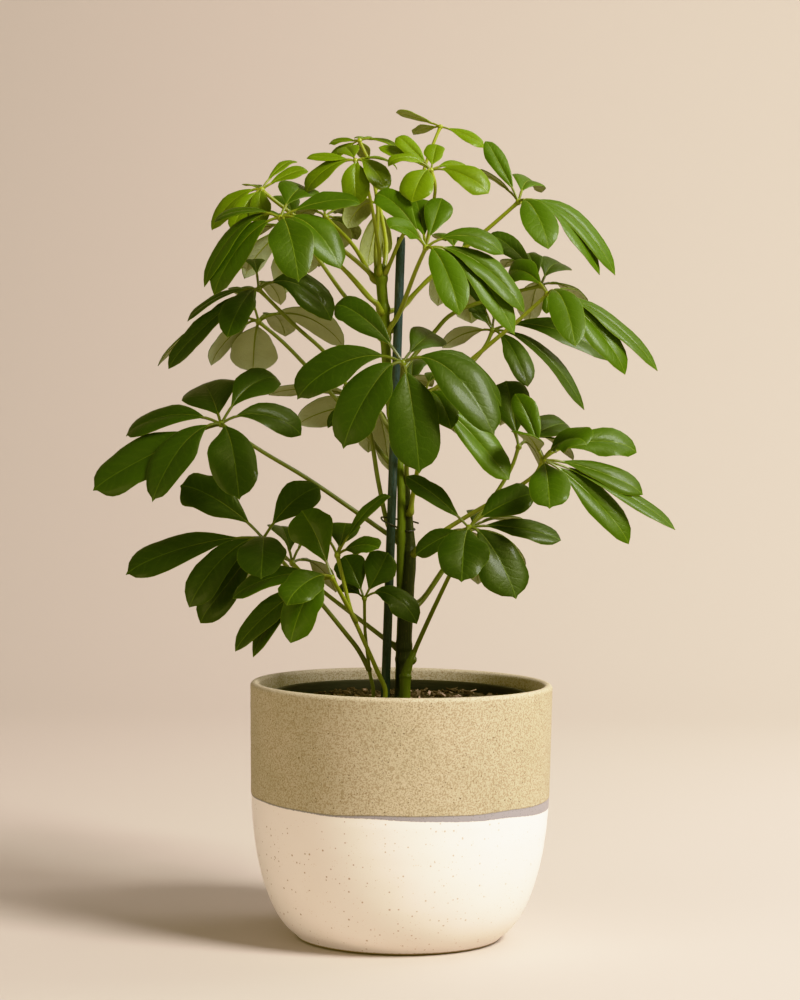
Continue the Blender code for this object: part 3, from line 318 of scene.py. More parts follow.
         (-41, 208, -41), 60, "fresh",
         ((-99, 196, -0.1, 17, 0.7, 0.6), (-67, 193, -0.7, 19, 1.5, 0.9), (-97.5, 165, -0.3, 15, 1.3, 0.9),
          (-65, 170, -0.5, 20, 1.2, 1.7), (-87, 161.5, 0.3, 15, 0.9, 1.2), (-59, 247, 0.25, 22, 1.6, 0.5))),
    Leaf("leaf_thin_shoot", "shoot_thin", None,
         ((-16.4, 144, -6), (-18.4, 153, -6), (-19.6, 162, -7), (-21.5, 178, -10)),
         (-22, 196, -16), 34, "dark",
         ((-34, 221, 0.4, 17, 1, 0.3), (-8.5, 223, 0.4, 17, 0.9, 0.3), (-37, 204, 0.5, 9, 1, 0.3),
          (9, 182, -0.5, 16, 1.3, 1.5))),
    Leaf("leaf_left_base", "shoot_thin", None,
         ((-18.8, 155, -6), (-25, 166, -6), (-32, 175, -7), (-50, 196.5, -11), (-66, 213, -15)),
         (-81, 230, -20), 66, "dark",
         ((-129.5, 260.5, 0.35, 24, 1.2, 0.6), (-161, 209, -0.1, 21, 1.3, 0.6),
          (-124, 190, -0.4, 19, 1.5, 1), (-118, 181, 0.1, 20, 1.6, 0.3), (-82, 207, -0.6, 24, 1.5, 1),
          (-48.5, 260.5, 0.35, 20, 0.7, 0.7))),
    Leaf("leaf_base_back", None, "trunk",
         ((-10, 173, 9), (-20, 180.5, 15), (-46, 200, 34)),
         (-64, 216, 50), 58, "dark",
         ((-72, 238, 0.5, 17, -0.4, 1), (-48, 236, 0.5, 17, -0.4, 1), (-92, 202, 0.5, 19, 0.2, 1),
          (-62, 182, 0.6, 19, 0.3, 1), (-38, 200, 0.7, 17, 0.2, 1), (-104, 224, 0.5, 18, 0.3, 1))),
    Leaf("leaf_right_low", None, "trunk",
         ((10, 227, -3), (28, 239, -8), (45, 249.5, -14), (60, 258, -22), (75, 268.5, -31)),
         (80, 277.5, -37), 66, "fresh",
         ((63.5, 316, 0.2, 12, 1, 0.4), (67, 294, -0.5, 15, 0.4, 0.4), (105, 288.5, -0.5, 20, 1.2, 0.8),
          (135, 283, 0.35, 17, 1.3, 0.8), (139, 259, 0.1, 14, 1.3, 0.4), (158, 239, -0.1, 11, 0.8, 0.6),
          (131.5, 230, -0.3, 16, 1.6, 0.5), (84.5, 250.5, -0.6, 21, 1.5, 0.6))),
    Leaf("leaf_right_base", None, "trunk",
         ((7, 165, 1), (16, 186, -7), (26.5, 209, -22), (33, 223, -34)),
         (38, 238, -46), 66, "dark",
         ((1, 267.5, 0.3, 11, 0.8, 0.2), (7, 222, 0.1, 14, 1.4, 0.2), (34, 206.5, -0.5, 25, 1.7, 1.4),
          (66, 197, -0.3, 25, 1.5, 1.3), (91.5, 231.5, 0.1, 14, 1.3, 0.4), (76, 258, 0.3, 19, 1.1, 0.5))),
    Leaf("leaf_right_hidden", None, "trunk",
         ((12, 196, 8), (22, 211, 13), (40, 240, 22), (53, 257.5, 29), (62, 273, 32)),
         (66, 285, 33), 60, "dark",
         ((58, 324, 0.45, 21, 1.2, 0.3), (55, 299, 0.8, 10, -0.4, 1), (95, 299, 0.5, 20, 0.9, 0.6),
          (84, 262, 0.7, 15, 0.7, 1.4), (98, 278, 0.6, 15, 0.2, 1))),
    Leaf("leaf_rear_upper", None, "branch",
         ((-1, 365.5, 20), (8, 376, 45)),
         (28, 394, 73), 60, "fresh",
         ((52, 398, 0.5, 18, 0, 1), (58, 374, 0.5, 18, 0, 1), (38, 356, 0.6, 20, -0.3, 1),
          (18, 366, 0.6, 17, -0.2, 1), (22, 404, 0.6, 17, 0, 1))),
    Leaf("leaf_rear_left", None, "branch",
         ((-19, 368, 19), (-37, 387, 47)),
         (-62, 404, 78), 58, "fresh",
         ((-96, 400, 0.5, 17, 0, 1), (-104, 378, 0.4, 17, 0, 1), (-70, 372, 0.7, 19, -0.2, 1),
          (-50, 388, 0.7, 16, 0, 1), (-72, 414, 0.6, 16, 0, 1))),
    Leaf("leaf_rear_middle", None, "branch",
         ((-2, 284, 22), (-1, 296, 54)),
         (4, 312, 89), 62, "dark",
         ((-36, 316, 0.4, 19, 0, 1), (-32, 296, 0.5, 19, 0, 1), (6, 284, 0.6, 21, 0, 1),
          (34, 290, 0.5, 20, 0, 1), (44, 310, 0.4, 19, 0, 1), (6, 334, 0.7, 18, 0, 1))),
    Leaf("leaf_rear_low", None, "trunk",
         ((12, 197, 20), (22, 212, 46)),
         (38, 236, 82), 62, "dark",
         ((74, 234, 0.5, 19, 0, 1), (70, 214, 0.5, 20, 0, 1), (44, 206, 0.6, 20, 0, 1),
          (26, 222, 0.6, 17, 0, 1), (48, 246, 0.6, 17, 0, 1))),
)


# Small sums that several parts share

def clamped(value):
    """The value, kept between 0 and 1."""
    return min(max(value, 0), 1)


def hump(offset, width):
    """A smooth hump: 1 in its middle, and next to nothing two widths away."""
    return math.exp(-(offset / width) ** 2)


def wave(turns):
    """A sine of a number of whole turns."""
    return math.sin(2 * math.pi * turns)


def on_blade(share, start):
    """The share of the blade at a share of the whole leaflet: 0 all along its stalk."""
    return max((share - start) / (1 - start), 0)


# The layout: stems, petioles and leaflets in their places
def place(across, up, back):
    """The point in space that is seen at (across, up) when it lies back behind the plane."""
    grown = 1 + back * MM / VIEW_DISTANCE
    return Vector((across * MM * grown, back * MM, EYE + (up * MM - EYE) * grown))


def smooth_route(points, per_span):
    """Points of a Catmull-Rom curve through the given ones, each a Vector of any length."""
    ends = [2 * points[0] - points[1]] + list(points) + [2 * points[-1] - points[-2]]
    route = []
    for a, b, c, d in zip(ends, ends[1:], ends[2:], ends[3:]):
        for step in range(per_span):
            t = step / per_span
            route.append(0.5 * (2 * b + (c - a) * t + (2 * a - 5 * b + 4 * c - d) * t * t
                                + (3 * b - a - 3 * c + d) * t ** 3))
    return route + [points[-1].copy()]


def with_foot(route, radius=()):
    """The route with a straight foot before it, down into the soil."""
    x, y = route[0][:2]
    return [Vector((x, y, SOIL_TOP - STEM_DEPTH, *radius)), Vector((x, y, SOIL_TOP, *radius))] + route


def stem_route(stem, in_soil=False):
    """The stem's (x, y, z, radius) points, with a straight foot in the soil where it has one."""
    route = [Vector((*place(*point[:3]), point[3] * MM)) for point in stem]
    return with_foot(route, route[0][3:]) if in_soil else route


def nearest_on(route, point):
    """The place and radius on a stem's route that is level with a point."""
    for low, high in zip(route, route[1:]):
        if low.z <= point.z <= high.z:
            share = (point.z - low.z) / (high.z - low.z)
            return low.lerp(high, share)
    return min(route, key=lambda end: abs(end.z - point.z))


def size_share(leaf):
    return 1 if leaf.reach > SMALL_REACH else SMALL_SHARE


def petiole_points(leaf, stems):
    """The petiole's guiding points, from the stem's skin where it grows from one, to the hub."""
    points = [place(*point) for point in (*leaf.route, leaf.hub)]
    radius = PETIOLE_RADIUS * size_share(leaf)
    if leaf.grows_from:
        level = min(points[0].z - ROOT_DROP, stems[leaf.grows_from][-1].z - ROOT_DROP / 2)
        on_stem = nearest_on(stems[leaf.grows_from], Vector((0, 0, level)))
        centre = on_stem.xyz
        out = points[0] - centre
        out.z = 0
        out.normalize()
        steep = abs((points[0] - centre - out * (on_stem[3] + radius)).normalized().z)
        points.insert(0, centre + out * (on_stem[3] + GAP + PETIOLE_TAPER[0] * radius * steep))
    return points, radius


def petiole_route(leaf, stems):
    """(x, y, z, radius) points from the stem's skin, or from the route's own start, to the hub."""
    points, radius = petiole_points(leaf, stems)
    routed = smooth_route(points, 1 if len(points) > LONG_ROUTE else 2)
    foot, top = PETIOLE_TAPER
    count = len(routed) - 1
    return [Vector((*point, radius * (foot + (top - foot) * i / count))) for i, point in enumerate(routed)]


def stake_route():
    low, high = place(*STAKE_FOOT), place(*STAKE_TOP)
    foot = low + (low - high) * (low.z - SOIL_TOP + STAKE_DEPTH) / (high.z - low.z)
    end = high + (high - low).normalized() * MM
    return [Vector((*foot, STAKE_RADIUS)), Vector((*high, STAKE_RADIUS)),
            Vector((*end, 0.7 * STAKE_RADIUS))]


def tie_route(stems, stake):
    """The room that the tie takes: one turn round the stake, the branch and the trunk."""
    level = place(0, TIE_HEIGHT, 0).z
    left = nearest_on(stake, Vector((0, 0, level)))
    right = nearest_on(stems["trunk"], Vector((0, 0, level)))
    centre = (left.xyz + right.xyz) / 2
    span = (right.xyz - left.xyz).normalized()
    side = UP.cross(span).normalized()
    route = []
    for step in range(TIE_POINTS):
        angle = 2 * math.pi * step / TIE_POINTS
        point = (centre + span * TIE_HALF_LENGTH * MM * math.cos(angle)
                 + side * TIE_HALF_WIDTH * MM * math.sin(angle))
        route.append(Vector((point.x, point.y, level + TIE_TILT * math.sin(angle), WIRE_RADIUS)))
    return route + route[:1]


def outline(share):
    """Half width at a share of the blade, against its greatest: a long base and a blunt tip."""
    if share < BROADEST:
        return math.sin(math.pi / 2 * share / BROADEST) ** 1.1
    return math.sqrt(max(1 - ((share - BROADEST) / (1 - BROADEST)) ** 2, 0))


class Leaflet:
    """One stalked leaflet: an arched, folded blade from the hub to its tip."""

    def __init__(self, hub, tip, width, face, arch, roll):
        self.half = FULLNESS * width / 2
        self.rows = SMALL_ROWS if width < SMALL_WIDTH else ROWS
        chord = tip - hub
        level = Vector((chord.x, chord.y, 0))
        lift = UP * arch * (0.35 * chord.length + 0.65 * level.length)
        self.bends = (hub, hub + 0.3 * chord + lift, hub + 0.74 * chord + 0.85 * lift, tip)
        outwards = level.normalized() if level.length > 0 else Vector((0, 0, 0))
        self.hint = UP + 0.5 * outwards + (face + roll) * TOWARDS_EYE

    def middle(self, share):
        a, b, c, d = self.bends
        rest = 1 - share
        return a * rest ** 3 + 3 * b * rest ** 2 * share + 3 * c * rest * share ** 2 + d * share ** 3

    def along(self, share):
        low, high = max(share - 0.02, 0), min(share + 0.02, 1)
        return (self.middle(high) - self.middle(low)).normalized()

    def point(self, across, share):
        """The blade's surface, with across from -1 at one edge to 1 at the other."""
        blade = on_blade(share, STALK_SHARE)
        half = max(self.half * outline(blade), STALK_WIDTH / 2 * (1 - blade))
        along = self.along(share)
        side = along.cross(self.hint).normalized()
        rise = FOLD * (1 - 1.2 * blade) * abs(across) * half if blade > 0 else 0
        return self.middle(share) + side * across * half + side.cross(along) * rise


def sheet(leaflet, rows, grow=0.0):
    """A bmesh of the leaflet's plain middle sheet, by which it is kept clear of the others."""
    bm = bmesh.new()
    bmesh.ops.create_grid(bm, x_segments=2, y_segments=len(rows) - 1, size=1)
    for vert in bm.verts:
        across = round(vert.co.x)
        row = round((vert.co.y + 1) / 2 * (len(rows) - 1))
        if rows[row] <= STALK_SHARE and across == 0:
            across = -1
        if rows[row] == 1:
            across = 0
        vert.co = leaflet.point(across * (1 + grow / leaflet.half), rows[row])
    bmesh.ops.remove_doubles(bm, verts=bm.verts, dist=0.02 * MM)
    bmesh.ops.triangulate(bm, faces=bm.faces)
    return bm


def solid(bm, thickness):
    """The sheet thickened evenly on both sides."""
    bm.normal_update()
    for vert in bm.verts:
        vert.co += vert.normal * thickness / 2
    bmesh.ops.solidify(bm, geom=bm.faces, thickness=thickness)
    bmesh.ops.recalc_face_normals(bm, faces=bm.faces)
    bmesh.ops.triangulate(bm, faces=bm.faces)


def tree(leaflet, rows, clearance=0.0):
    """A search tree of the leaflet's middle sheet, or of all that lies within a clearance of it."""
    bm = sheet(leaflet, rows, clearance)
    if clearance:
        solid(bm, 2 * clearance)
    made = BVHTree.FromBMesh(bm)
    bm.free()
    return made


class Thicket:
    """What already stands in the plant: leaflets as sheets, and stems as balls along a route."""

    def __init__(self):
        self.sheets = []
        self.balls = []

    def add_route(self, owner, route):
        for low, high in zip(route, route[1:]):
            steps = max(int((high - low).length / BALL_SPACING), 1)
            for step in range(steps):
                x, y, z, radius = low.lerp(high, step / steps)
                self.balls.append((owner, Vector((x, y, z)), radius))

    def add_sheet(self, owner, leaflet):
        self.sheets.append((owner, tree(leaflet, leaflet.rows), tree(leaflet, leaflet.rows[2:])))

    def crossings(self, owner, leaflet):
        """How many pieces the leaflet would touch."""
        whole = tree(leaflet, leaflet.rows, CLEARANCE)
        blade = tree(leaflet, leaflet.rows[2:], SISTER_CLEARANCE)
        middle = tree(leaflet, leaflet.rows)
        found = 0
        for other, other_whole, other_blade in self.sheets:
            mine, theirs = (blade, other_blade) if other == owner else (whole, other_whole)
            found += bool(mine.overlap(theirs))
        for other, centre, radius in self.balls:
            if other != owner and middle.find_nearest(centre, radius + CLEARANCE)[0] is not None:
                found += 1
        return found


def settle(leaf, hub, tip, width, face, arch, roll, thicket):
    """The leaflet with its tip swung back or forward, along the line of sight, until it is clear."""
    across, up, swing = tip
    flat = place(across, up, leaf.hub[2])
    unseen = math.sqrt(max((leaf.reach * MM) ** 2 - (flat - hub).length_squared, LEAST_DEPTH ** 2))
    best = None
    trials = sorted(itertools.product(MORE_SWINGS, MORE_ARCHES),
                    key=lambda trial: abs(trial[0]) + 0.5 * abs(trial[1] - 1))
    for more_swing, more_arch in trials:
        if abs(swing + more_swing) > MOST_SWING:
            continue
        back = leaf.hub[2] + (swing + more_swing) * unseen / MM
        made = Leaflet(hub, place(across, up, back), width, face, more_arch * arch, roll)
        found = thicket.crossings(leaf.name, made)
        if best is None or found < best[0]:
            best = (found, made)
        if found == 0:
            break
    return best[1]


def plan_leaves(stems, thicket):
    """Every leaf's leaflets, each bent clear of what was placed before it."""
    draw = random.Random(SEED)
    petioles = {leaf.name: petiole_route(leaf, stems) for leaf in LEAVES}
    for name, route in petioles.items():
        thicket.add_route(name, route)
    leaflets = {leaf.name: [] for leaf in LEAVES}
    for leaf in LEAVES:
        hub = petioles[leaf.name][-1].xyz
        for across, up, swing, width, face, arch in leaf.leaflets:
            arched = ARCH * arch * draw.uniform(0.75, 1.25)
            roll = draw.uniform(-0.15, 0.15)
            made = settle(leaf, hub, (across, up, swing), width * MM, face, arched, roll, thicket)
            thicket.add_sheet(leaf.name, made)
            leaflets[leaf.name].append(made)
    return leaflets


# Shader maths

class Socket:
    """A shader socket that Python's operators build Math nodes from."""

    def __init__(self, finish, socket):
        self.finish = finish
        self.socket = socket

    def math(self, operation, *values, clamp=False):
        settings = {"operation": operation, "use_clamp": clamp}
        return self.finish.node("Math", 0, settings, dict(enumerate(values)))

    def __add__(self, other):
        return self.math("ADD", self, other)

    __radd__ = __add__

    def __sub__(self, other):
        return self.math("SUBTRACT", self, other)

    def __rsub__(self, other):
        return self.math("SUBTRACT", other, self)

    def __mul__(self, other):
        return self.math("MULTIPLY", self, other)

    __rmul__ = __mul__

    def __truediv__(self, other):
        return self.math("DIVIDE", self, other)

    def __rtruediv__(self, other):
        return self.math("DIVIDE", other, self)

    def __abs__(self):
        return self.math("ABSOLUTE", self)

    def sine(self):
        return self.math("SINE", self)

    def fraction(self):
        return self.math("FRACT", self)

    def above(self, edge, soft):
        """1 where the value is over the edge, 0 where it is under, with a soft step between."""
        return self.math("ADD", (self - edge) / soft, 0.5, clamp=True)

    def sibling(self, output):
        """Another output of the same node."""
        return Socket(self.finish, self.socket.node.outputs[output])


class Finish:
    """A material with one Principled shader, and short ways to the nodes that feed it."""

    def __init__(self, name, **constants):
        self.material = bpy.data.materials.new(name)
        self.material.use_nodes = True
        self.tree = self.material.node_tree
        self.shader = self.tree.nodes["Principled BSDF"]
        for socket, value in constants.items():
            self.shader.inputs[socket.replace("_", " ")].default_value = value

    def node(self, kind, output, settings=None, inputs=None):
        """An output of a new node, which gets its settings and then its values or links."""
        made = self.tree.nodes.new("ShaderNode" + kind)
        for key, value in (settings or {}).items():
            setattr(made, key, value)
        for key, value in (inputs or {}).items():
            self.feed(made.inputs[key], value)
        return Socket(self, made.outputs[output])

    def feed(self, socket, value):
        if isinstance(value, Socket):
            self.tree.links.new(value.socket, socket)
        elif socket.type == "RGBA":
            socket.default_value = (*value, 1)
        else:
            socket.default_value = value

    def place(self):
        """The surface point in metres."""
        return self.node("TexCoord", "Object")

    def split(self, vector):
        """A vector's x, y and z."""
        first = self.node("SeparateXYZ", "X", inputs={0: vector})
        return first, first.sibling("Y"), first.sibling("Z")

    def along_and_across(self):
        across, along, _ = self.split(self.node("UVMap", "UV", {"uv_map": "along"}))
        return across, along

    def attribute(self, name):
        return self.node("Attribute", "Fac", {"attribute_name": name})

    def stretched(self, vector, scale):
        return self.node("Mapping", 0, inputs={"Vector": vector, "Scale": scale})

    def noise(self, vector, scale, detail=2.0, roughness=0.5):
        return self.node("TexNoise", "Fac", inputs={
            "Vector": vector, "Scale": scale, "Detail": detail, "Roughness": roughness})

    def cells(self, vector, scale, feature="F1"):
        """The distance from the middle, or from the edge, of the nearest cell."""
        return self.node("TexVoronoi", "Distance", {"feature": feature},
                         {"Vector": vector, "Scale": scale})

    def spots(self, vector, scale, rarity, size):
        """Round spots of many sizes, of which the rarest values are the largest."""
        distance = self.cells(vector, scale)
        value = self.split(distance.sibling("Color"))[0]
        return 1 - distance.above((value - rarity) * size, 0.07)

    def mix(self, first, second, share):
        return self.node("Mix", 2, {"data_type": "RGBA", "clamp_factor": True},
                         {0: share, 6: first, 7: second})

    def coats(self, ground, *coats):
        """The ground's colour under (colour, share) coats, which are laid on one after another."""
        for colour, share in coats:
            ground = self.mix(ground, colour, share)
        return ground

    def paint(self, colour, roughness, height=None, depth=0.0, strength=1.0):
        """The finished material, with bumps where a height is given, whose whole range is depth metres."""
        self.feed(self.shader.inputs["Base Color"], colour)
        self.feed(self.shader.inputs["Roughness"], roughness)
        if height is not None:
            bump = {"Height": height, "Distance": depth, "Strength": strength}
            self.feed(self.shader.inputs["Normal"], self.node("Bump", "Normal", inputs=bump))
        return self.material


# Finishes

def glaze_line(angle, sine, settings):
    """Height of the upper glaze's lower edge at an angle round the planter, 0 at the front."""
    return (settings.glaze_height - 1.8 * MM * sine(angle + math.pi / 2)
            + 0.45 * MM * sine(angle * 3 + 0.8) + 0.3 * MM * sine(angle * 7 + 2.0)
            + 0.15 * MM * sine(angle * 13 + 4.1))


def glaze_overlap(angle, sine):
    """How far the thin grey glaze shows below that edge."""
    return 3.3 * MM + 2.9 * MM * sine(angle - 0.35) + 0.25 * MM * sine(angle * 5 + 1.0)


def stoneware(settings):
    """Speckled tan glaze over cream, with a grey strip where they overlap, a bare foot, and painted shade
    on the left side.
    """
    finish = Finish("speckled_stoneware", Specular_IOR_Level=0.4)
    point = finish.place()
    x, y, z = finish.split(point)
    angle = x.math("ARCTAN2", x, 0 - y)
    line = glaze_line(angle, Socket.sine, settings)
    ragged = (finish.noise(point, 700, 2) - 0.5) * 0.9 * MM
    level = z + ragged
    upper = level.above(line, 0.3 * MM)
    cream = 1 - level.above(line - glaze_overlap(angle, Socket.sine), 0.3 * MM)
    edge = 1 - abs(level - line).above(0.4 * MM, 0.5 * MM)
    foot = 1 - (z + ragged * 0.6).above(1.5 * MM, 0.5 * MM)
    lip = (z - PLANTER_HEIGHT).above(-1.6 * MM, 1.8 * MM)
    # Painted shade: on the left side, away from the key light, the large spots and the glaze edge are laid
    # on darker
    shaded_left = 1 - angle.above(-0.1, 2)

    cloud = finish.noise(point, 26, 3)
    grain = finish.noise(point, 1300, 3, 0.65)
    blotch = finish.noise(point, 1100, 2, 0.6).above(0.53, 0.08)
    grains = finish.spots(point, 1080, 0.34, 0.62)
    brown = finish.spots(point, 640, 0.5, 0.58)
    dark = finish.spots(point, 600, 0.7, 0.85)
    small = finish.spots(point, 760, 0.62, 0.6)
    large = finish.spots(point, 400, 0.55, 0.56)
    tan = finish.coats(
        settings.upper_glaze,
        (settings.upper_shade, (grain - 0.4) * 3),
        ((0.37, 0.33, 0.19), cloud.above(0.52, 0.35) * 0.35),
        ((0.25, 0.17, 0.07), blotch * 0.6),
        (settings.speckle, grains * 0.45),
        ((0.17, 0.095, 0.033), brown * 0.6),
        ((0.085, 0.05, 0.022), dark * 0.8),
        ((0.52, 0.45, 0.32), lip * 0.3))
    pale = finish.coats(
        settings.lower_glaze,
        ((0.80, 0.715, 0.59), cloud.above(0.6, 0.4) * 0.3),
        ((0.60, 0.44, 0.27), small * 0.55),
        # the large spots are laid on more strongly on the left side, as painted shade
        ((0.36, 0.21, 0.09), large * (0.4 + 0.5 * shaded_left)))
    colour = finish.coats(
        (0.33, 0.305, 0.30),
        ((0.22, 0.20, 0.195), grains * 0.8 + grain * 0.3),
        (pale, cream),
        (tan, upper),
        # the glaze edge is darker on the left side, as painted shade
        ((0.14, 0.125, 0.085), edge * (0.15 + 0.5 * shaded_left)),
        ((0.30, 0.20, 0.115), foot))

    height = grain * 0.6 - grains * 0.4 - brown * 0.25 + cloud * 0.2
    return finish.paint(colour, 0.4 + 0.24 * upper + grain * 0.12 + foot * 0.2,
                        height * (0.18 + 0.82 * upper), 0.2 * MM)


def moulded_plastic():
    finish = Finish("nursery_pot_plastic", Specular_IOR_Level=0.25)
    point = finish.place()
    height = finish.split(point)[2]
    grain = finish.noise(point, 900, 3)
    scuffs = finish.noise(finish.stretched(point, (1, 1, 6)), 60, 4, 0.7)
    rim = (height - (POT_RIM_HEIGHT - 1.6 * MM)).above(0, 1.4 * MM)
    dust = scuffs.above(0.6, 0.25) * 0.5 + rim * 0.35
    colour = finish.mix((0.007, 0.0075, 0.0065), (0.04, 0.033, 0.024), dust)
    return finish.paint(colour, 0.5 + 0.25 * scuffs, grain, 0.06 * MM)


def peat():
    finish = Finish("potting_soil", Specular_IOR_Level=0.25)
    point = finish.place()
    crumbs = finish.cells(point, 420)
    fibres = finish.noise(finish.stretched(point, (1, 2.2, 1)), 700, 4, 0.7)
    damp = finish.noise(point, 45, 3)
    colour = finish.coats(
        (0.008, 0.005, 0.003),
        ((0.04, 0.024, 0.014), crumbs * 0.8 + fibres * 0.5),
        ((0.087, 0.055, 0.033), fibres.above(0.63, 0.06) * 0.6),
        ((0.007, 0.005, 0.0035), damp.above(0.5, 0.3) * 0.4))
    return finish.paint(colour, 0.88 + 0.1 * damp, crumbs + fibres * 0.8, 1.2 * MM)


def wood_chip():
    finish = Finish("bark_chips", Specular_IOR_Level=0.25)
    grain = finish.noise(finish.stretched(finish.place(), (1, 1, 5)), 500, 4, 0.7)
    colour = finish.coats(
        (0.04, 0.022, 0.013),
        ((0.42, 0.29, 0.21), finish.attribute("tone")),
        ((0.03, 0.018, 0.01), grain.above(0.6, 0.12) * 0.4))
    return finish.paint(colour, 0.85, grain, 0.5 * MM)


def green_bark(settings):
    """Olive bark below, darkened further by painted shade, paler and greener up the branch, with fine
    lengthwise lines.
    """
    finish = Finish("green_bark", Specular_IOR_Level=0.25)
    point = finish.place()
    lines = finish.noise(finish.stretched(point, (1, 1, 0.04)), 1900, 3, 0.6)
    blotches = finish.noise(finish.stretched(point, (1, 1, 0.4)), 160, 3)
    pores = 1 - finish.cells(finish.stretched(point, (1, 1, 0.45)), 520).above(0.2, 0.12)
    colour = finish.coats(
        # Ground: the old bark's own dark olive with painted shade in it
        settings.old_bark_and_shade,
        (settings.young_bark, finish.attribute("young") + (blotches - 0.5) * 0.3),
        ((0.10, 0.13, 0.01), lines.above(0.58, 0.12) * 0.16),
        ((0.012, 0.017, 0.003), blotches.above(0.6, 0.1) * 0.3),
        ((0.107, 0.093, 0.035), pores * 0.25))
    return finish.paint(colour, 0.42 + 0.2 * blotches, lines * 0.6 + pores * 0.3, 0.09 * MM)


def dyed_cane(settings):
    """Cane dyed a deep blue green, with its grain showing as fine pale lines and pores."""
    finish = Finish("dyed_cane", Specular_IOR_Level=0.3)
    point = finish.place()
    grain = finish.noise(finish.stretched(point, (1, 1, 0.05)), 2200, 3, 0.65)
    pores = finish.noise(finish.stretched(point, (1, 1, 0.3)), 1400, 2)
    wear = finish.noise(finish.stretched(point, (1, 1, 0.15)), 240, 4, 0.6)
    colour = finish.coats(
        settings.stake_colour,
        ((0.02, 0.05, 0.05), grain.above(0.53, 0.2) * 0.6),
        ((0.003, 0.008, 0.008), pores.above(0.58, 0.1) * 0.7),
        ((0.073, 0.087, 0.067), wear.above(0.68, 0.06) * 0.45))
    return finish.paint(colour, 0.38 + 0.25 * wear, grain - pores * 0.5, 0.2 * MM)


def coated_wire():
    finish = Finish("black_wire", Specular_IOR_Level=0.5)
    scuffs = finish.noise(finish.place(), 700, 3)
    colour = finish.mix((0.008, 0.008, 0.0085), (0.047, 0.044, 0.04), scuffs.above(0.6, 0.1) * 0.6)
    return finish.paint(colour, 0.35 + 0.2 * scuffs, scuffs, 0.04 * MM)


# The light that passes through a blade
BLADE_LIGHT = {"Subsurface_Weight": 0.06, "Subsurface_Scale": 0.6 * MM,
               "Subsurface_Radius": (0.7, 1.0, 0.1)}


def leaf_veins(finish, point):
    """Side veins that leave the rib, as 1 on a vein and 0 between, and the distance from the rib."""
    across, along = finish.along_and_across()
    side = abs(across - 0.5) * 2
    wander = finish.noise(point, 170, 2)
    turn = (along * 11 - side * 2.1 + (wander - 0.5) * 1.1).fraction()
    return (1 - abs(turn - 0.5) * 2).above(0.82, 0.34) * (1 - side * side), side


def leaf_top(name, fresh, deep, rib_colour, rib_share, gloss):
    """A glossy blade with a fine rib, a pale margin and a ripple between faint side veins."""
    finish = Finish(name, Specular_IOR_Level=0.2, Coat_Roughness=0.14, Coat_Weight=0.05,
                    Specular_Tint=(0.92, 1.0, 0.55, 1), **BLADE_LIGHT)
    point = finish.place()
    veins, side = leaf_veins(finish, point)
    patches = finish.noise(point, 95, 3, 0.55)
    cells = finish.noise(point, 1000, 2)
    ripple = finish.noise(point, 560, 3, 0.6)
    rib = 1 - finish.attribute("rib").above(0.26 * MM, 0.3 * MM)
    margin = 1 - finish.attribute("edge").above(0.22 * MM, 0.3 * MM)
    colour = finish.coats(
        deep,
        # Tone: each blade's random tone, with painted light and shade added for leaves in the light and in
        # shade
        (fresh, 0.15 + finish.attribute("tone") * 0.55 + patches * 0.55),
        (deep, (1 - side).above(0.8, 0.6) * 0.35),
        (rib_colour, veins * 0.07),
        (deep, (cells - 0.5) * 0.5),
        (rib_colour, rib * rib_share),
        (rib_colour, margin * 0.5))
    return finish.paint(colour, gloss + 0.16 * patches + 0.1 * cells,
                        ripple * 0.55 - veins * 0.22 + cells * 0.12, 0.34 * MM, 0.8)


def leaf_back(name, pale, deep):
    """The matt underside: greyish green, with a raised pale rib and a net of veins."""
    finish = Finish(name, Specular_IOR_Level=0.25, **BLADE_LIGHT)
    point = finish.place()
    veins, _ = leaf_veins(finish, point)
    net = 1 - finish.cells(point, 520, "DISTANCE_TO_EDGE").above(0.05, 0.08)
    rib = 1 - finish.attribute("rib").above(0.45 * MM, 0.4 * MM)
    patches = finish.noise(point, 120, 3)
    colour = finish.coats(
        deep,
        # Tone: each blade's random tone, with painted light and shade added for leaves in the light and in
        # shade
        (pale, finish.attribute("tone") * 0.5 + patches * 0.7),
        ((0.31, 0.32, 0.16), veins * 0.15 + net * 0.04 + rib * 0.5))
    return finish.paint(colour, 0.6 + 0.12 * patches, veins * 0.6 + net * 0.3, 0.25 * MM)


def leaf_stalk(name, lit, shaded):
    """Petioles, hubs and stalks: smooth and round, browner at the foot and paler at the hub."""
    finish = Finish(name, Specular_IOR_Level=0.45, Subsurface_Weight=0.08, Subsurface_Scale=0.8 * MM,
                    Subsurface_Radius=(0.7, 1.0, 0.15))
    point = finish.place()
    _, along = finish.along_and_across()
    streaks = finish.noise(finish.stretched(point, (1, 1, 0.3)), 700, 3, 0.6)
    blush = finish.noise(point, 75, 2)
    colour = finish.coats(
        shaded,
        (lit, along * 0.7 + (streaks - 0.4) * 0.6),
        ((0.087, 0.057, 0.017), blush.above(0.6, 0.2) * 0.3 * (1 - along)))
    return finish.paint(colour, 0.36 + 0.15 * blush, streaks, 0.1 * MM)


# Meshes

# Edges that bend by more degrees than this stay sharp
SHARP_ANGLE = 42


def linked(name, data):
    """A new object in the scene."""
    made = bpy.data.objects.new(name, data)
    bpy.context.scene.collection.objects.link(made)
    return made


def new_mesh(name, bm, *materials):
    """A mesh of the finished bmesh, which is freed."""
    mesh = bpy.data.meshes.new(name)
    bm.to_mesh(mesh)
    bm.free()
    for material in materials:
        mesh.materials.append(material)
    return mesh


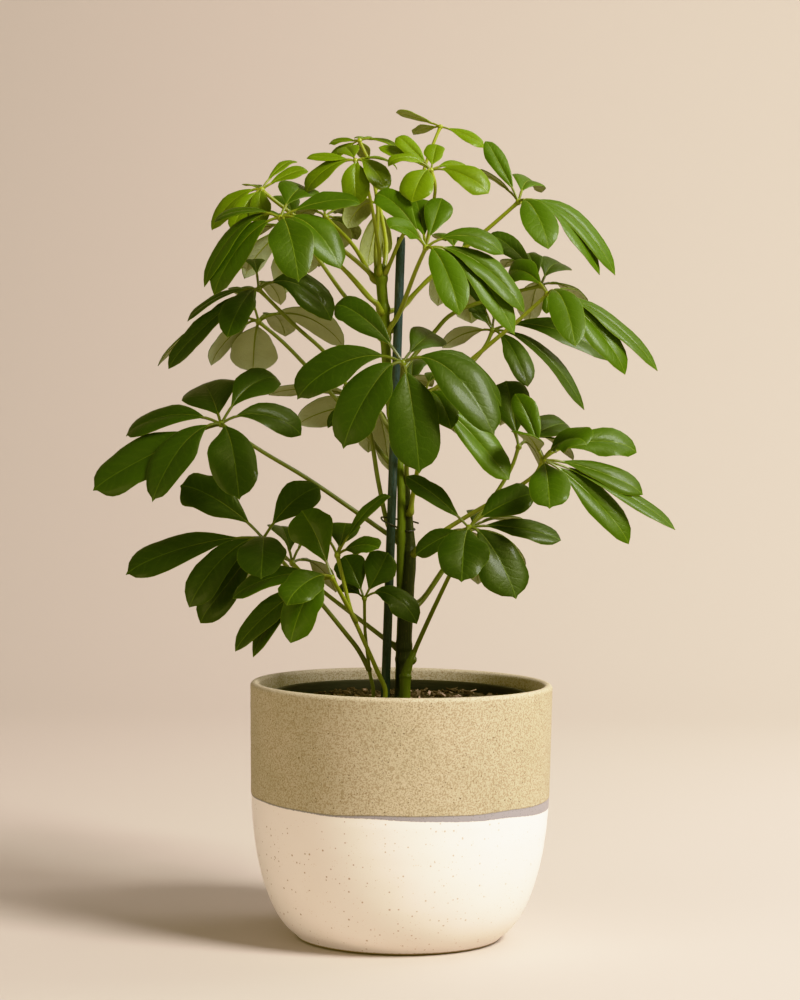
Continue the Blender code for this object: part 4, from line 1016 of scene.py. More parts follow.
def new_piece(name, bm, materials, slot, *nodes):
    """Make the finished bmesh a piece that rides with the plant and stands for its solids."""
    bmesh.ops.recalc_face_normals(bm, faces=bm.faces)
    mesh = new_mesh(name, bm, *materials)
    mesh.shade_smooth()
    mesh.set_sharp_from_angle(angle=math.radians(SHARP_ANGLE))
    made = linked(name, mesh)
    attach(made, BODY)
    if nodes:
        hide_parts(*nodes)
    return made


def apply_modifiers(made):
    """Put the evaluated mesh in the place of the object's own, and clear its modifiers."""
    bpy.context.view_layer.update()
    graph = bpy.context.evaluated_depsgraph_get()
    mesh = bpy.data.meshes.new_from_object(made.evaluated_get(graph))
    made.modifiers.clear()
    made.data = mesh
    mesh.name = made.name


def turned(profile, steps):
    """A bmesh turned about Z from (radius, height) points."""
    bm = bmesh.new()
    verts = [bm.verts.new((radius, 0, height)) for radius, height in profile]
    edges = [bm.edges.new(pair) for pair in zip(verts, verts[1:])]
    bmesh.ops.spin(bm, geom=verts + edges, cent=(0, 0, 0), axis=(0, 0, 1), angle=2 * math.pi,
                   steps=steps, use_merge=True, use_duplicate=False)
    bmesh.ops.remove_doubles(bm, verts=bm.verts, dist=0.01 * MM)
    return bm


def rounded(centre, radius, start, end, steps):
    """Points of an arc in a profile, with its angles in quarter turns from straight out."""
    turns = [math.pi / 2 * (start + (end - start) * step / steps) for step in range(steps + 1)]
    return [(centre[0] + radius * math.cos(turn), centre[1] + radius * math.sin(turn)) for turn in turns]


def add_tube(bm, route, sides, layers=None, tone=0.5, part=0):
    """A closed tube along (x, y, z, radius) points, added to a bmesh."""
    rows = len(route) - 1
    grid = bmesh.ops.create_grid(bm, x_segments=sides, y_segments=rows, size=1, calc_uvs=True)["verts"]
    rings = []
    across = None
    for low, point, high in zip([route[0]] + route[:-1], route, route[1:] + [route[-1]]):
        along = (high - low).xyz.normalized()
        if across is None:
            across = along.orthogonal()
        across = (across - along * across.dot(along)).normalized()
        rings.append((point.xyz, across.copy(), along.cross(across), point[3]))
    for vert in grid:
        turn = math.pi * vert.co.x
        centre, across, up, radius = rings[round((vert.co.y + 1) / 2 * rows)]
        vert.co = centre + radius * (across * math.cos(turn) + up * math.sin(turn))
        if layers:
            vert[layers.tone] = tone
            vert[layers.rib] = vert[layers.edge] = 1
    bmesh.ops.remove_doubles(bm, verts=grid, dist=0.002 * MM)
    grid = [vert for vert in grid if vert.is_valid]
    ends = {edge for vert in grid for edge in vert.link_edges if edge.is_boundary}
    bmesh.ops.holes_fill(bm, edges=list(ends), sides=0)
    for vert in grid:
        for face in vert.link_faces:
            face.material_index = part
    return grid


# Degrees towards a round end's tip at which it gets a ring
END_ANGLES = (30, 60, 82)


def round_end(first, second, share):
    """Narrowing points beyond a route's first point, away from its second."""
    radius = first[3]
    out = (first - second).xyz.normalized()
    for angle in map(math.radians, END_ANGLES):
        centre = first.xyz + out * (share * radius * math.sin(angle))
        yield Vector((*centre, radius * math.cos(angle)))


def round_ends(route, low=True, high=True, share=1.0):
    """The route with a few narrowing points at its ends, so that its tube ends round."""
    before = list(round_end(route[0], route[1], share))[::-1] if low else []
    after = list(round_end(route[-1], route[-2], share)) if high else []
    return before + list(route) + after


Layers = namedtuple("Layers", "uv tone rib edge")


def leaf_layers(bm):
    floats = [bm.verts.layers.float.new(name) for name in ("tone", "rib", "edge")]
    return Layers(bm.loops.layers.uv.new("along"), *floats)


# Columns of a blade's grid, as shares of its half width from the rib, and its number of rows
COLUMNS = (0, 0.08, 0.34, 0.62, 0.86, 1)
BLADE_ROWS = 18
SMALL_BLADE_ROWS = 13
# Share of a leaf's leaflets that end round, without a drip tip
BLUNT = {"lime": 0.92, "fresh": 0.78, "dark": 0.75}
# How much lighter these leaves are painted than others of their colour, as painted light on leaves in the
# light, or if negative darker, as painted shade on leaves in shade
PAINTED_LIGHT_AND_SHADE = {
    "leaf_shoot_lower": -0.9, "leaf_shoot_upper": -0.6, "leaf_crown_left": -0.45,
    "leaf_left_base": -0.3, "leaf_right_base": -0.5, "leaf_right_low": -0.2,
    "leaf_crown_right": 0.6, "leaf_upper_front": 0.2, "leaf_right_upper": 0.1}
# The share of a leaflet from which its blade's turn is taken for its narrow base too
BASE_TURN = 0.32
# Blades are eased back by up to FRONT_EASE where they come within FRONT_ZONE of the front of the box
FRONT_ZONE = 4 * MM
FRONT_EASE = 0.5 * MM
# The share of a blade where its half width reaches 0 but for the drip tip
ROUND_END = 0.97
STALK_STEPS = 14


class Blade:
    """The finer form of a leaflet: domed halves, a waved margin, a drawn-out tip and a sunk rib."""

    def __init__(self, leaflet, draw, settings, blunt):
        self.leaflet = leaflet
        self.length = (leaflet.bends[3] - leaflet.bends[0]).length
        self.broadest = BROADEST + draw.uniform(-0.06, 0.07)
        self.base = draw.uniform(1.05, 1.45)
        self.blunt = draw.uniform(2.0, 2.9)
        self.drip = draw.uniform(0, 0.08) if draw.random() < blunt else draw.uniform(0.07, 0.13)
        self.dome = settings.dome * draw.uniform(0.5, 1.4)
        self.curl = draw.uniform(0.02, 0.12)
        ruffle = settings.waviness * (2.4 if draw.random() < 0.25 else 1)
        self.waves = [(draw.uniform(0.4, 1) * ruffle, draw.uniform(0.9, 1.9), draw.random())
                      for _ in range(2)]
        self.lobes = [(draw.uniform(0.015, 0.085), draw.uniform(1.2, 2.2), draw.random())
                      for _ in range(2)]
        self.skew = draw.uniform(-0.07, 0.07)
        self.sway = draw.uniform(-0.024, 0.024) * self.length
        self.tip = draw.uniform(0.3, 2.2) * MM
        self.tone = draw.random()
        self.start = STALK_SHARE - 0.015

    def half(self, blade):
        """Half width at a share of the blade: a long base and a blunt end with a short drip tip."""
        if blade < self.broadest:
            body = math.sin(math.pi / 2 * blade / self.broadest) ** self.base
        else:
            past = min((blade - self.broadest) / (ROUND_END - self.broadest), 1)
            body = (1 - past ** self.blunt) ** 0.5
        tip = self.drip * clamped((1 - blade) / 0.11) ** 0.8 if blade > 0.8 else 0
        return self.leaflet.half * max(body, tip) + 0.25 * MM * (1 - blade)

    def frame(self, share):
        """The blade's directions at a share of the leaflet: to its right side, and up."""
        along = self.leaflet.along(share)
        side = self.leaflet.along(max(share, BASE_TURN)).cross(self.leaflet.hint)
        side = (side - along * side.dot(along)).normalized()
        return side, side.cross(along)

    def centre(self, share):
        """The rib's line, with a little sideways bend and a drooping tip."""
        side, up = self.frame(share)
        bend = self.sway * math.sin(math.pi * share) ** 2
        droop = self.tip * max((on_blade(share, STALK_SHARE) - 0.8) / 0.2, 0) ** 2
        return self.leaflet.middle(share) + side * bend - up * droop

    def point(self, across, share):
        """A point of the upper skin, with its distances from the rib and from the margin."""
        blade = min(on_blade(share, STALK_SHARE), 1)
        side, up = self.frame(share)
        hand = across > 0
        out = abs(across)
        lobe, lobes, lobe_phase = self.lobes[hand]
        lobed = 1 + lobe * wave(lobes * blade + lobe_phase)
        lobed += 0.07 * noise.noise(Vector((7 * blade, 40 * lobe_phase, 3 * hand)))
        half = self.half(blade) * (1 + self.skew * (1 if hand else -1)) * lobed
        size, count, phase = self.waves[hand]
        fold = 0.7 * FOLD * (1 - 1.2 * blade) * out
        lengthwise = math.sin(math.pi * min(blade + 0.08, 1)) ** 0.5
        dome = self.dome * math.sin(math.pi * out ** 0.85) * lengthwise
        curl = self.curl * max((out - 0.72) / 0.28, 0) ** 2
        waved = size * out ** 2 * wave(count * blade + phase) * math.sin(math.pi * blade)
        groove = min(0.3 * MM, 0.05 * half) * (1 - blade) * max(1 - out / 0.08, 0)
        rise = (fold + dome - curl + waved) * half - groove
        place_at = self.centre(share) + side * across * half + up * rise
        near = max(CAD_BOX[0][1] + FRONT_ZONE - place_at.y, 0)
        place_at.y += FRONT_EASE * (near / FRONT_ZONE) ** 2
        return place_at, out * half, (1 - out) * half

    def build(self, bm, layers, thickness):
        """Add the blade as a closed thin solid, with its underside in the second material."""
        columns = [-share for share in COLUMNS[:0:-1]] + list(COLUMNS)
        last = len(columns) - 1
        rows = BLADE_ROWS if self.leaflet.half > SMALL_WIDTH * FULLNESS / 2 else SMALL_BLADE_ROWS
        made = bmesh.ops.create_grid(bm, x_segments=last, y_segments=rows, size=1, calc_uvs=True)
        verts = made["verts"]
        faces = list({face for vert in verts for face in vert.link_faces})
        for vert in verts:
            column = round((vert.co.x + 1) / 2 * last)
            even = (vert.co.y + 1) / 2
            row = 0.5 * even + 0.25 * (1 - math.cos(math.pi * even))
            vert.co, rib, edge = self.point(columns[column], self.start + (1 - self.start) * row)
            vert[layers.rib], vert[layers.edge], vert[layers.tone] = rib, edge, self.tone
        for changed in (*faces, *verts):
            changed.normal_update()
        extruded = bmesh.ops.solidify(bm, geom=faces, thickness=thickness)["geom"]
        for face in extruded:
            if isinstance(face, bmesh.types.BMFace):
                face.material_index = 1

    def stalk_route(self, radius):
        """The stalk from the hub, and the rib that it runs on as under the blade."""
        route = []
        for step in range(STALK_STEPS + 1):
            share = 0.96 * (step / STALK_STEPS) ** 1.15
            blade = on_blade(share, self.start)
            swelling = 0.35 * hump(share, 0.03) + 0.12 * hump(share - self.start, 0.04)
            girth = radius * (1 - 0.84 * blade ** 0.7) * (1 + swelling)
            below = min(blade / 0.06, 1) * (0.45 * girth + 0.35 * MM)
            route.append(Vector((*(self.centre(share) - self.frame(share)[1] * below), girth)))
        return route


def petiole_line(leaf, stems):
    """The petiole as a fine route, flared where it leaves the stem and swollen below the hub."""
    points, radius = petiole_points(leaf, stems)
    if leaf.grows_from:
        root = points[0]
        level = nearest_on(stems[leaf.grows_from], root)
        inwards = level.xyz - root
        inwards.z = 0
        inside = inwards.normalized() * (PETIOLE_TAPER[0] * radius + 0.8 * MM) - UP * 1.2 * MM
        points.insert(0, root + inside)
    if leaf.name in SHOOTS:
        points = with_foot(points)
    line = smooth_route(points, 5)
    lengths = [0]
    for low, high in zip(line, line[1:]):
        lengths.append(lengths[-1] + (high - low).length)
    foot, top = PETIOLE_TAPER
    route = []
    for point, length in zip(line, lengths):
        share = length / lengths[-1]
        flare = (0.75 if leaf.grows_from else 0.15) * hump(length, 4.5 * MM)
        neck = 0.28 * hump(lengths[-1] - length, 2.5 * MM)
        route.append(Vector((*point, radius * (foot + (top - foot) * share) * (1 + flare + neck))))
    return route


# Settings

def number_setting(name, description, default, **limits):
    return FloatProperty(name=name, description=description, default=default, **limits)


def colour_setting(name, description, default):
    """A property for a colour, with its picker in the panel."""
    return FloatVectorProperty(name=name, description=description, default=default, subtype="COLOR",
                               size=3, min=0, max=1)


class PlanterSettings(bpy.types.PropertyGroup):
    steps: IntProperty(name="Steps", description="Sides of the turned pots", default=144, min=24)
    glaze_height: number_setting(
        "Glaze height", "Height of the upper glaze's lower edge", 84.1 * MM, unit="LENGTH")
    upper_glaze: colour_setting("Upper glaze", "Ground of the speckled upper glaze", (0.53, 0.455, 0.30))
    upper_shade: colour_setting("Upper shade", "Darker grain of the upper glaze", (0.44, 0.365, 0.22))
    speckle: colour_setting("Speckle", "Fine spots in the upper glaze", (0.25, 0.165, 0.065))
    lower_glaze: colour_setting("Lower glaze", "Cream glaze of the lower half", (0.90, 0.825, 0.725))


class StemSettings(bpy.types.PropertyGroup):
    # Near black: the old bark's own colour with painted shade in it
    old_bark_and_shade: colour_setting("Old bark", "Bark at the trunk's foot", (0.008, 0.014, 0.001))
    young_bark: colour_setting("Young bark", "Bark near the top of the branch", (0.12, 0.18, 0.003))
    stake_colour: colour_setting("Stake", "Dye of the cane stake", (0.005, 0.021, 0.026))
    grain: number_setting(
        "Merge size", "Size of the cells that merge the stems into one skin", 0.5 * MM,
        min=0.2 * MM, unit="LENGTH")


class LeafSettings(bpy.types.PropertyGroup):
    thickness: number_setting("Thickness", "Thickness of a blade", 0.42 * MM, min=0.1 * MM, unit="LENGTH")
    dome: number_setting(
        "Dome", "Rise of each half of a blade, as a share of its half width", 0.07, min=0, max=0.4)
    waviness: number_setting(
        "Waviness", "Waves of the margin, as a share of the half width", 0.095, min=0, max=0.4)
    lime: colour_setting("Young leaves", "Upper side of the crown's young leaves", (0.1, 0.167, 0.001))
    fresh: colour_setting("Grown leaves", "Upper side of the grown leaves", (0.045, 0.099, 0.001))
    dark: colour_setting("Old leaves", "Upper side of the oldest leaves", (0.022, 0.051, 0.001))
    seed: IntProperty(name="Seed", description="Start of the blades' random differences", default=5)


class StageSettings(bpy.types.PropertyGroup):
    floor: colour_setting("Floor", "Colour of the floor and the backdrop", (0.55, 0.477, 0.402))
    key: number_setting("Key light", "Power of the key light", 92, unit="POWER")
    backdrop: number_setting("Backdrop light", "Power of the light on the backdrop", 25, unit="POWER")
    fill: number_setting("Fill light", "Power of the warm low light from the left", 14, unit="POWER")
    surroundings: number_setting(
        "Surroundings", "Strength of the even light from all round", 0.235, min=0)


class PlantSettings(bpy.types.PropertyGroup):
    planter: PointerProperty(type=PlanterSettings)
    stems: PointerProperty(type=StemSettings)
    leaves: PointerProperty(type=LeafSettings)
    stage: PointerProperty(type=StageSettings)


# Operators, each after the functions that it calls

def planter_radius(height):
    """Outer radius of the planter: a rounded foot, then a side that leans out a little."""
    if height >= BELLY_HEIGHT:
        return BELLY_RADIUS + (RIM_RADIUS - BELLY_RADIUS) * (height - BELLY_HEIGHT) / (
            PLANTER_HEIGHT - BELLY_HEIGHT)
    fall = 1 - height / BELLY_HEIGHT
    return FOOT_RADIUS + (BELLY_RADIUS - FOOT_RADIUS) * (1 - fall ** BELLY_ROUNDNESS) ** (
        1 / BELLY_ROUNDNESS)


def planter_profile(glaze_height):
    """The planter's wall as (radius, height) points, close together where the glazes meet."""
    top = PLANTER_HEIGHT - LIP
    near_line = [glaze_height + step * 0.3 * MM for step in range(-32, 9)]
    heights = [FOOT_TOP + (top - FOOT_TOP) * (step / SIDE_ROWS) for step in range(SIDE_ROWS + 1)]
    heights = [z for z in heights if not -10.2 * MM < z - glaze_height < 3 * MM]
    floor = 0.12 * PLANTER_HEIGHT
    inner = [top - step / INNER_ROWS * (top - floor) for step in range(1, INNER_ROWS + 1)]
    profile = [(0, 1.8 * MM), (FOOT_RADIUS - 9 * MM, 1.8 * MM), (FOOT_RADIUS - 7.6 * MM, 0.6 * MM),
               (FOOT_RADIUS - 6.8 * MM, 0), (FOOT_RADIUS - 1.6 * MM, 0),
               (planter_radius(FOOT_TOP) - 1.1 * MM, 0.8 * MM)]
    profile += [(planter_radius(z), z) for z in sorted(heights + near_line)]
    profile += rounded((RIM_RADIUS - LIP, top), LIP, 0.15, 1.85, 12)
    profile += [(planter_radius(z) - PLANTER_WALL, z) for z in inner]
    return profile + [
        (planter_radius(0.05 * PLANTER_HEIGHT) - 1.3 * PLANTER_WALL, 0.085 * PLANTER_HEIGHT),
        (planter_radius(0.03 * PLANTER_HEIGHT) - 2.2 * PLANTER_WALL, FLOOR_THICKNESS),
        (0, FLOOR_THICKNESS)]


def lay_glaze(vert, settings):
    """Swell a vertex of the planter's outside by its glazes and by faint waves of throwing."""
    x, y, z = vert.co
    radius = math.hypot(x, y)
    top = PLANTER_HEIGHT - LIP
    if z < 3 * MM or radius < planter_radius(min(z, top)) - 1.5 * MM:
        return
    angle = math.atan2(x, -y)
    round_about = Vector((0.7 * math.cos(angle), 0.7 * math.sin(angle), z / (6 * MM)))
    line = glaze_line(angle, math.sin, settings)
    under = line - max(glaze_overlap(angle, math.sin), 0)
    thrown = 0.12 * MM * noise.noise(round_about)
    glaze = UPPER_THICKNESS * clamped((z - line) / GLAZE_FADE + 0.5)
    glaze += UNDER_THICKNESS * clamped((z - under) / GLAZE_FADE + 0.5)
    share = 1 if z < top else max(1 - (z - top) / LIP, 0)
    grown = 1 + share * (thrown + glaze - GLAZE_THICKNESS) / radius
    vert.co.x, vert.co.y = x * grown, y * grown


class UMBRELLA_OT_planter(bpy.types.Operator):
    """Turn the stoneware planter, with its foot ring, its round lip and its two glazes"""
    bl_idname = "umbrella.planter"
    bl_label = "Planter"

    def execute(self, context):
        settings = context.scene.umbrella_plant.planter
        bm = turned(planter_profile(settings.glaze_height), settings.steps)
        for vert in bm.verts:
            lay_glaze(vert, settings)
        new_piece("stoneware_planter", bm, [stoneware(settings)], "planter_stoneware", "planter")
        return {"FINISHED"}


def pot_radius(height):
    """Outer radius of the nursery pot's leaning side."""
    share = (height - FLOOR_THICKNESS) / (POT_RIM_HEIGHT - FLOOR_THICKNESS)
    return POT_FOOT_RADIUS + (POT_RIM_RADIUS - 2 * MM - POT_FOOT_RADIUS) * share


def pot_profile():
    """The nursery pot's wall as (radius, height) points, up outside, over the rim and down inside."""
    outside = [POT_FOOT + (POT_BAND - POT_FOOT) * step / 12 for step in range(1, 13)]
    inside = [POT_FLOOR + (POT_BAND - POT_FLOOR) * step / 8 for step in range(7, 0, -1)]
    below_rim = POT_RIM_RADIUS - 2 * POT_WALL
    profile = [(0, POT_FOOT), (POT_FOOT_RADIUS - 2 * MM, POT_FOOT), (POT_FOOT_RADIUS, POT_FOOT + 1.6 * MM)]
    profile += [(pot_radius(z), z) for z in outside[:-1]]
    profile += [(pot_radius(outside[-1]) - 0.4 * MM, outside[-1]),
                (POT_RIM_RADIUS - 0.5 * MM, POT_BAND + 0.3 * MM),
                (POT_RIM_RADIUS - 0.4 * MM, POT_BAND + 1.2 * MM)]
    profile += rounded((POT_RIM_RADIUS - POT_BEAD, POT_RIM_HEIGHT - POT_BEAD), POT_BEAD, -0.6, 2.2, 10)
    profile += [(below_rim, POT_RIM_HEIGHT - 3 * MM), (below_rim, POT_BAND + 1 * MM),
                (pot_radius(POT_BAND) - POT_WALL, POT_BAND)]
    profile += [(pot_radius(z) - POT_WALL, z) for z in inside]
    return profile + [(POT_FOOT_RADIUS - POT_WALL - 1.5 * MM, POT_FLOOR), (0, POT_FLOOR)]


def drain_cutter():
    """An object with a round bar through each of the nursery pot's drainage holes."""
    cut = bmesh.new()
    for hole in range(DRAIN_HOLES):
        angle = 2 * math.pi * hole / DRAIN_HOLES
        spot = (DRAIN_CIRCLE * math.cos(angle), DRAIN_CIRCLE * math.sin(angle), POT_FOOT)
        bmesh.ops.create_cone(cut, cap_ends=True, segments=24, radius1=DRAIN_RADIUS,
                              radius2=DRAIN_RADIUS, depth=12 * MM, matrix=Matrix.Translation(spot))
    return linked("drain_cutter", new_mesh("drain_cutter", cut))


class UMBRELLA_OT_nursery_pot(bpy.types.Operator):
    """Turn the black nursery pot, with its rim band and its drainage holes"""
    bl_idname = "umbrella.nursery_pot"
    bl_label = "Nursery Pot"

    def execute(self, context):
        bm = turned(pot_profile(), context.scene.umbrella_plant.planter.steps)
        made = new_piece("black_nursery_pot", bm, [moulded_plastic()], "nursery_pot_plastic",
                         "nursery_pot")
        cutter = drain_cutter()
        change = made.modifiers.new("drain", "BOOLEAN")
        change.operation = "DIFFERENCE"
        change.object = cutter
        apply_modifiers(made)
        bpy.data.objects.remove(cutter)
        return {"FINISHED"}


def soil_height(x, y):
    """The soil's uneven top."""
    return SOIL_TOP + SOIL_BUMP * sum(share * math.sin(along_x * x + along_y * y + phase)
                                      for along_x, along_y, phase, share in SOIL_WAVES)


def soil_spot(draw, radius):
    """A random place on the soil, within a radius."""
    angle, out = draw.uniform(0, 2 * math.pi), radius * math.sqrt(draw.random())
    return out * math.cos(angle), out * math.sin(angle)


def strew_crumbs(bm, tones, draw, radius):
    """Small crumbs of soil, a little flat, of which a few are larger."""
    for _ in range(CRUMBS):
        x, y = soil_spot(draw, radius)
        size = draw.uniform(0.5, 1.5) * MM * (1 if draw.random() < 0.85 else 1.7)
        made = bmesh.ops.create_icosphere(bm, subdivisions=1, radius=size)["verts"]
        tone = draw.uniform(0, 0.22)
        for vert in made:
            vert.co = vert.co * draw.uniform(0.65, 1.2)
            vert.co.z *= 0.8
            vert.co += Vector((x, y, soil_height(x, y) + 0.25 * size))
            vert[tones] = tone


def strew_chips(bm, tones, draw, radius):
    """Bark chips: uneven little slabs with worn edges, which lie at a slant."""
    for _ in range(CHIPS):
        x, y = soil_spot(draw, radius)
        if x < 0 and draw.random() < BARE_SHARE:
            continue
        sides = [draw.uniform(*span) * MM for span in CHIP_SIDES]
        turn = (Matrix.Rotation(draw.uniform(0, math.pi), 3, "Z")
                @ Matrix.Rotation(draw.gauss(0, 0.3), 3, "Y")
                @ Matrix.Rotation(draw.gauss(0, 0.35), 3, "X"))
        centre = Vector((x, y, soil_height(x, y) + 0.9 * MM))
        corners = bmesh.ops.create_cube(bm, size=1)["verts"]
        for vert in corners:
            local = Vector([part * side for part, side in zip(vert.co, sides)])
            local += Vector([draw.uniform(-0.2, 0.2) * side for side in sides])
            vert.co = centre + turn @ local
        edges = list({edge for vert in corners for edge in vert.link_edges})
        worn = bmesh.ops.bevel(bm, geom=edges, offset=CHIP_WEAR * sides[2], offset_type="OFFSET",
                               segments=1, profile=0.5, affect="EDGES", material=-1)
        tone = draw.random() ** 1.3
        for vert in worn["verts"]:
            vert[tones] = tone


class UMBRELLA_OT_soil(bpy.types.Operator):
    """Fill the nursery pot with crumbly soil, with bark chips on it"""
    bl_idname = "umbrella.soil"
    bl_label = "Soil"

    def execute(self, context):
        foot = POT_FLOOR + GAP
        inner = POT_FOOT_RADIUS - POT_WALL
        radius = pot_radius(SOIL_TOP) - POT_WALL - GAP
        profile = [(radius * ring / SOIL_RINGS, SOIL_TOP) for ring in range(SOIL_RINGS + 1)]
        profile += [(inner + 0.6 * MM, foot + 6 * MM), (inner - 3 * MM, foot), (0, foot)]
        bm = turned(profile, SOIL_SIDES)
        for vert in bm.verts:
            if vert.co.z > SOIL_TOP - MM:
                x, y, _ = vert.co
                lumps = noise.fractal(Vector((x, y, 0)) * 260, 1.0, 2.0, 4)
                clods = abs(noise.noise(Vector((x, y, 0.3)) * 120))
                vert.co.z = soil_height(x, y) + 1.3 * MM * lumps + 1.4 * MM * clods - 0.9 * MM
        new_piece("potting_soil_top", bm, [peat()], "potting_soil", "soil")

        strewn = bmesh.new()
        tones = strewn.verts.layers.float.new("tone")
        draw = random.Random(SOIL_SEED)
        strew_crumbs(strewn, tones, draw, radius * 0.98)
        strew_chips(strewn, tones, draw, radius * 0.95)
        new_piece("soil_bark_chips", strewn, [wood_chip()], "potting_soil")
        return {"FINISHED"}


def stems_of_plant():
    return {"trunk": stem_route(TRUNK, in_soil=True), "branch": stem_route(BRANCH)}


def stem_swelling(height, rings):
    """How much thicker a stem is at a height: at its leaves' rings, here and there, and at the soil."""
    swelling = sum(0.16 * hump(height - ring, 2.2 * MM) for ring in rings)
    swelling += 0.05 * noise.noise(Vector((0, 0, height * 90)))
    if height > SOIL_TOP:
        swelling += 0.3 * max(1 - (height - SOIL_TOP) / (7 * MM), 0) ** 2
    return min(swelling, 0.3)


def stub_line():
    """The green shoot at the trunk's foot, with a ring and a groove over it."""
    line = smooth_route(stem_route(STUB), 8)
    ring = place(0, STUB_RING, 0).z
    for point in line:
        point[3] *= 1 + 0.22 * hump(point.z - ring, 0.7 * MM)
        point[3] *= 1 - 0.12 * hump(point.z - ring - 1.5 * MM, 0.7 * MM)
    return line


def finish_bark(bm, stems, stub):
    """Smooth the merged skin, mark how young its bark is, and raise fine ridges on it."""
    for _ in range(3):
        bmesh.ops.smooth_vert(bm, verts=bm.verts, factor=0.5, use_axis_x=True, use_axis_y=True,
                              use_axis_z=True)
    bm.normal_update()
    young = bm.verts.layers.float.new("young")
    for vert in bm.verts:
        x, y, z = vert.co
        off = {}
        for name, route in (*stems.items(), ("stub", stub)):
            level = nearest_on(route, vert.co)
            off[name] = (vert.co - level.xyz).length - level[3]
        youth = 0.5 + (off["trunk"] - min(off["branch"], off["stub"])) / (1.2 * MM)
        # Higher up the bark is paler, which also lifts the painted shade at the trunk's foot
        vert[young] = clamped(youth) * (0.55 + 1.6 * max(z - 0.19, 0))
        vert.co += vert.normal * 0.07 * MM * noise.noise(Vector((x * 900, y * 900, z * 40)))


class UMBRELLA_OT_stems(bpy.types.Operator):
    """Grow the trunk and its branch as one skin, with rings where the leaves stand"""
    bl_idname = "umbrella.stems"
    bl_label = "Trunk and Branch"

    def execute(self, context):
        settings = context.scene.umbrella_plant.stems
        stems = stems_of_plant()
        bm = bmesh.new()
        for name, route in stems.items():
            rings = [petiole_points(leaf, stems)[0][0].z for leaf in LEAVES if leaf.grows_from == name]
            line = smooth_route(route, 14)
            for point in line:
                point[3] *= 1 + stem_swelling(point.z, rings)
            add_tube(bm, round_ends(line, low=False, share=0.7), 24)
        stub = stub_line()
        add_tube(bm, round_ends(stub, low=False), 20)
        made = new_piece("green_trunk_and_branch", bm, [green_bark(settings)], "green_bark", "trunk")
        merge = made.modifiers.new("merge", "REMESH")
        merge.mode = "VOXEL"
        merge.voxel_size = settings.grain
        apply_modifiers(made)
        bm = bmesh.new()
        bm.from_mesh(made.data)
        finish_bark(bm, stems, stub)
        bm.to_mesh(made.data)
        bm.free()
        made.data.shade_smooth()
        return {"FINISHED"}


class UMBRELLA_OT_stake(bpy.types.Operator):
    """Stand the dyed cane stake in the soil"""
    bl_idname = "umbrella.stake"
    bl_label = "Stake"

    def execute(self, context):
        route = stake_route()
        low, high = route[0], route[-1]
        line = [low.lerp(high, step / STAKE_ROWS) for step in range(STAKE_ROWS + 1)]
        for point in line:
            knot = 0.10 * hump(point.z - STAKE_KNOT, 1.6 * MM)
            knot -= 0.06 * hump(point.z - STAKE_GROOVE, 1.0 * MM)
            point[3] = STAKE_RADIUS * (1 + knot + 0.02 * noise.noise(Vector((0, 4, point.z * 60))))
        line[-1][3] = STAKE_RADIUS * 0.88
        bm = bmesh.new()
        add_tube(bm, line, 28)
        cane = dyed_cane(context.scene.umbrella_plant.stems)
        new_piece("dyed_cane_stake", bm, [cane], "dyed_cane", "stake")
        return {"FINISHED"}


class UMBRELLA_OT_tie(bpy.types.Operator):
    """Wind the wire tie round the stake and the stems"""
    bl_idname = "umbrella.tie"
    bl_label = "Wire Tie"

    def execute(self, context):
        route = smooth_route([Vector((*place(*point), WIRE_RADIUS)) for point in WIRE], 6)
        bm = bmesh.new()
        add_tube(bm, round_ends(route), 10)
        new_piece("twisted_wire_tie", bm, [coated_wire()], "black_wire", "wire_tie")
        return {"FINISHED"}


# For each colour of leaf: how rough its top is, the colour and the strength of its rib, its underside
# and its stalks in the light
LEAF_LOOKS = (
    ("lime", 0.37, (0.23, 0.31, 0.02), 0.4, (0.30, 0.34, 0.11), (0.29, 0.34, 0.016)),
    ("fresh", 0.35, (0.15, 0.22, 0.02), 0.4, (0.35, 0.385, 0.18), (0.24, 0.29, 0.014)),
    ("dark", 0.34, (0.095, 0.15, 0.015), 0.45, (0.36, 0.385, 0.20), (0.14, 0.18, 0.008)))


def darker(colour, share):
    return tuple(part * share for part in colour)


def leaf_finishes(settings):
    """The materials of a leaf by its colour: its top, its underside and its stalks."""
    made = {}
    for colour, gloss, rib_colour, rib_share, pale, lit in LEAF_LOOKS:
        bright = tuple(getattr(settings, colour))
        top = leaf_top(f"leaf_{colour}_top", bright, darker(bright, 0.5), rib_colour, rib_share, gloss)
        made[colour] = [top, leaf_back(f"leaf_{colour}_underside", pale, darker(pale, 0.66)),
                        leaf_stalk(f"leaf_{colour}_stalk", lit, darker(lit, 0.5))]
    return made


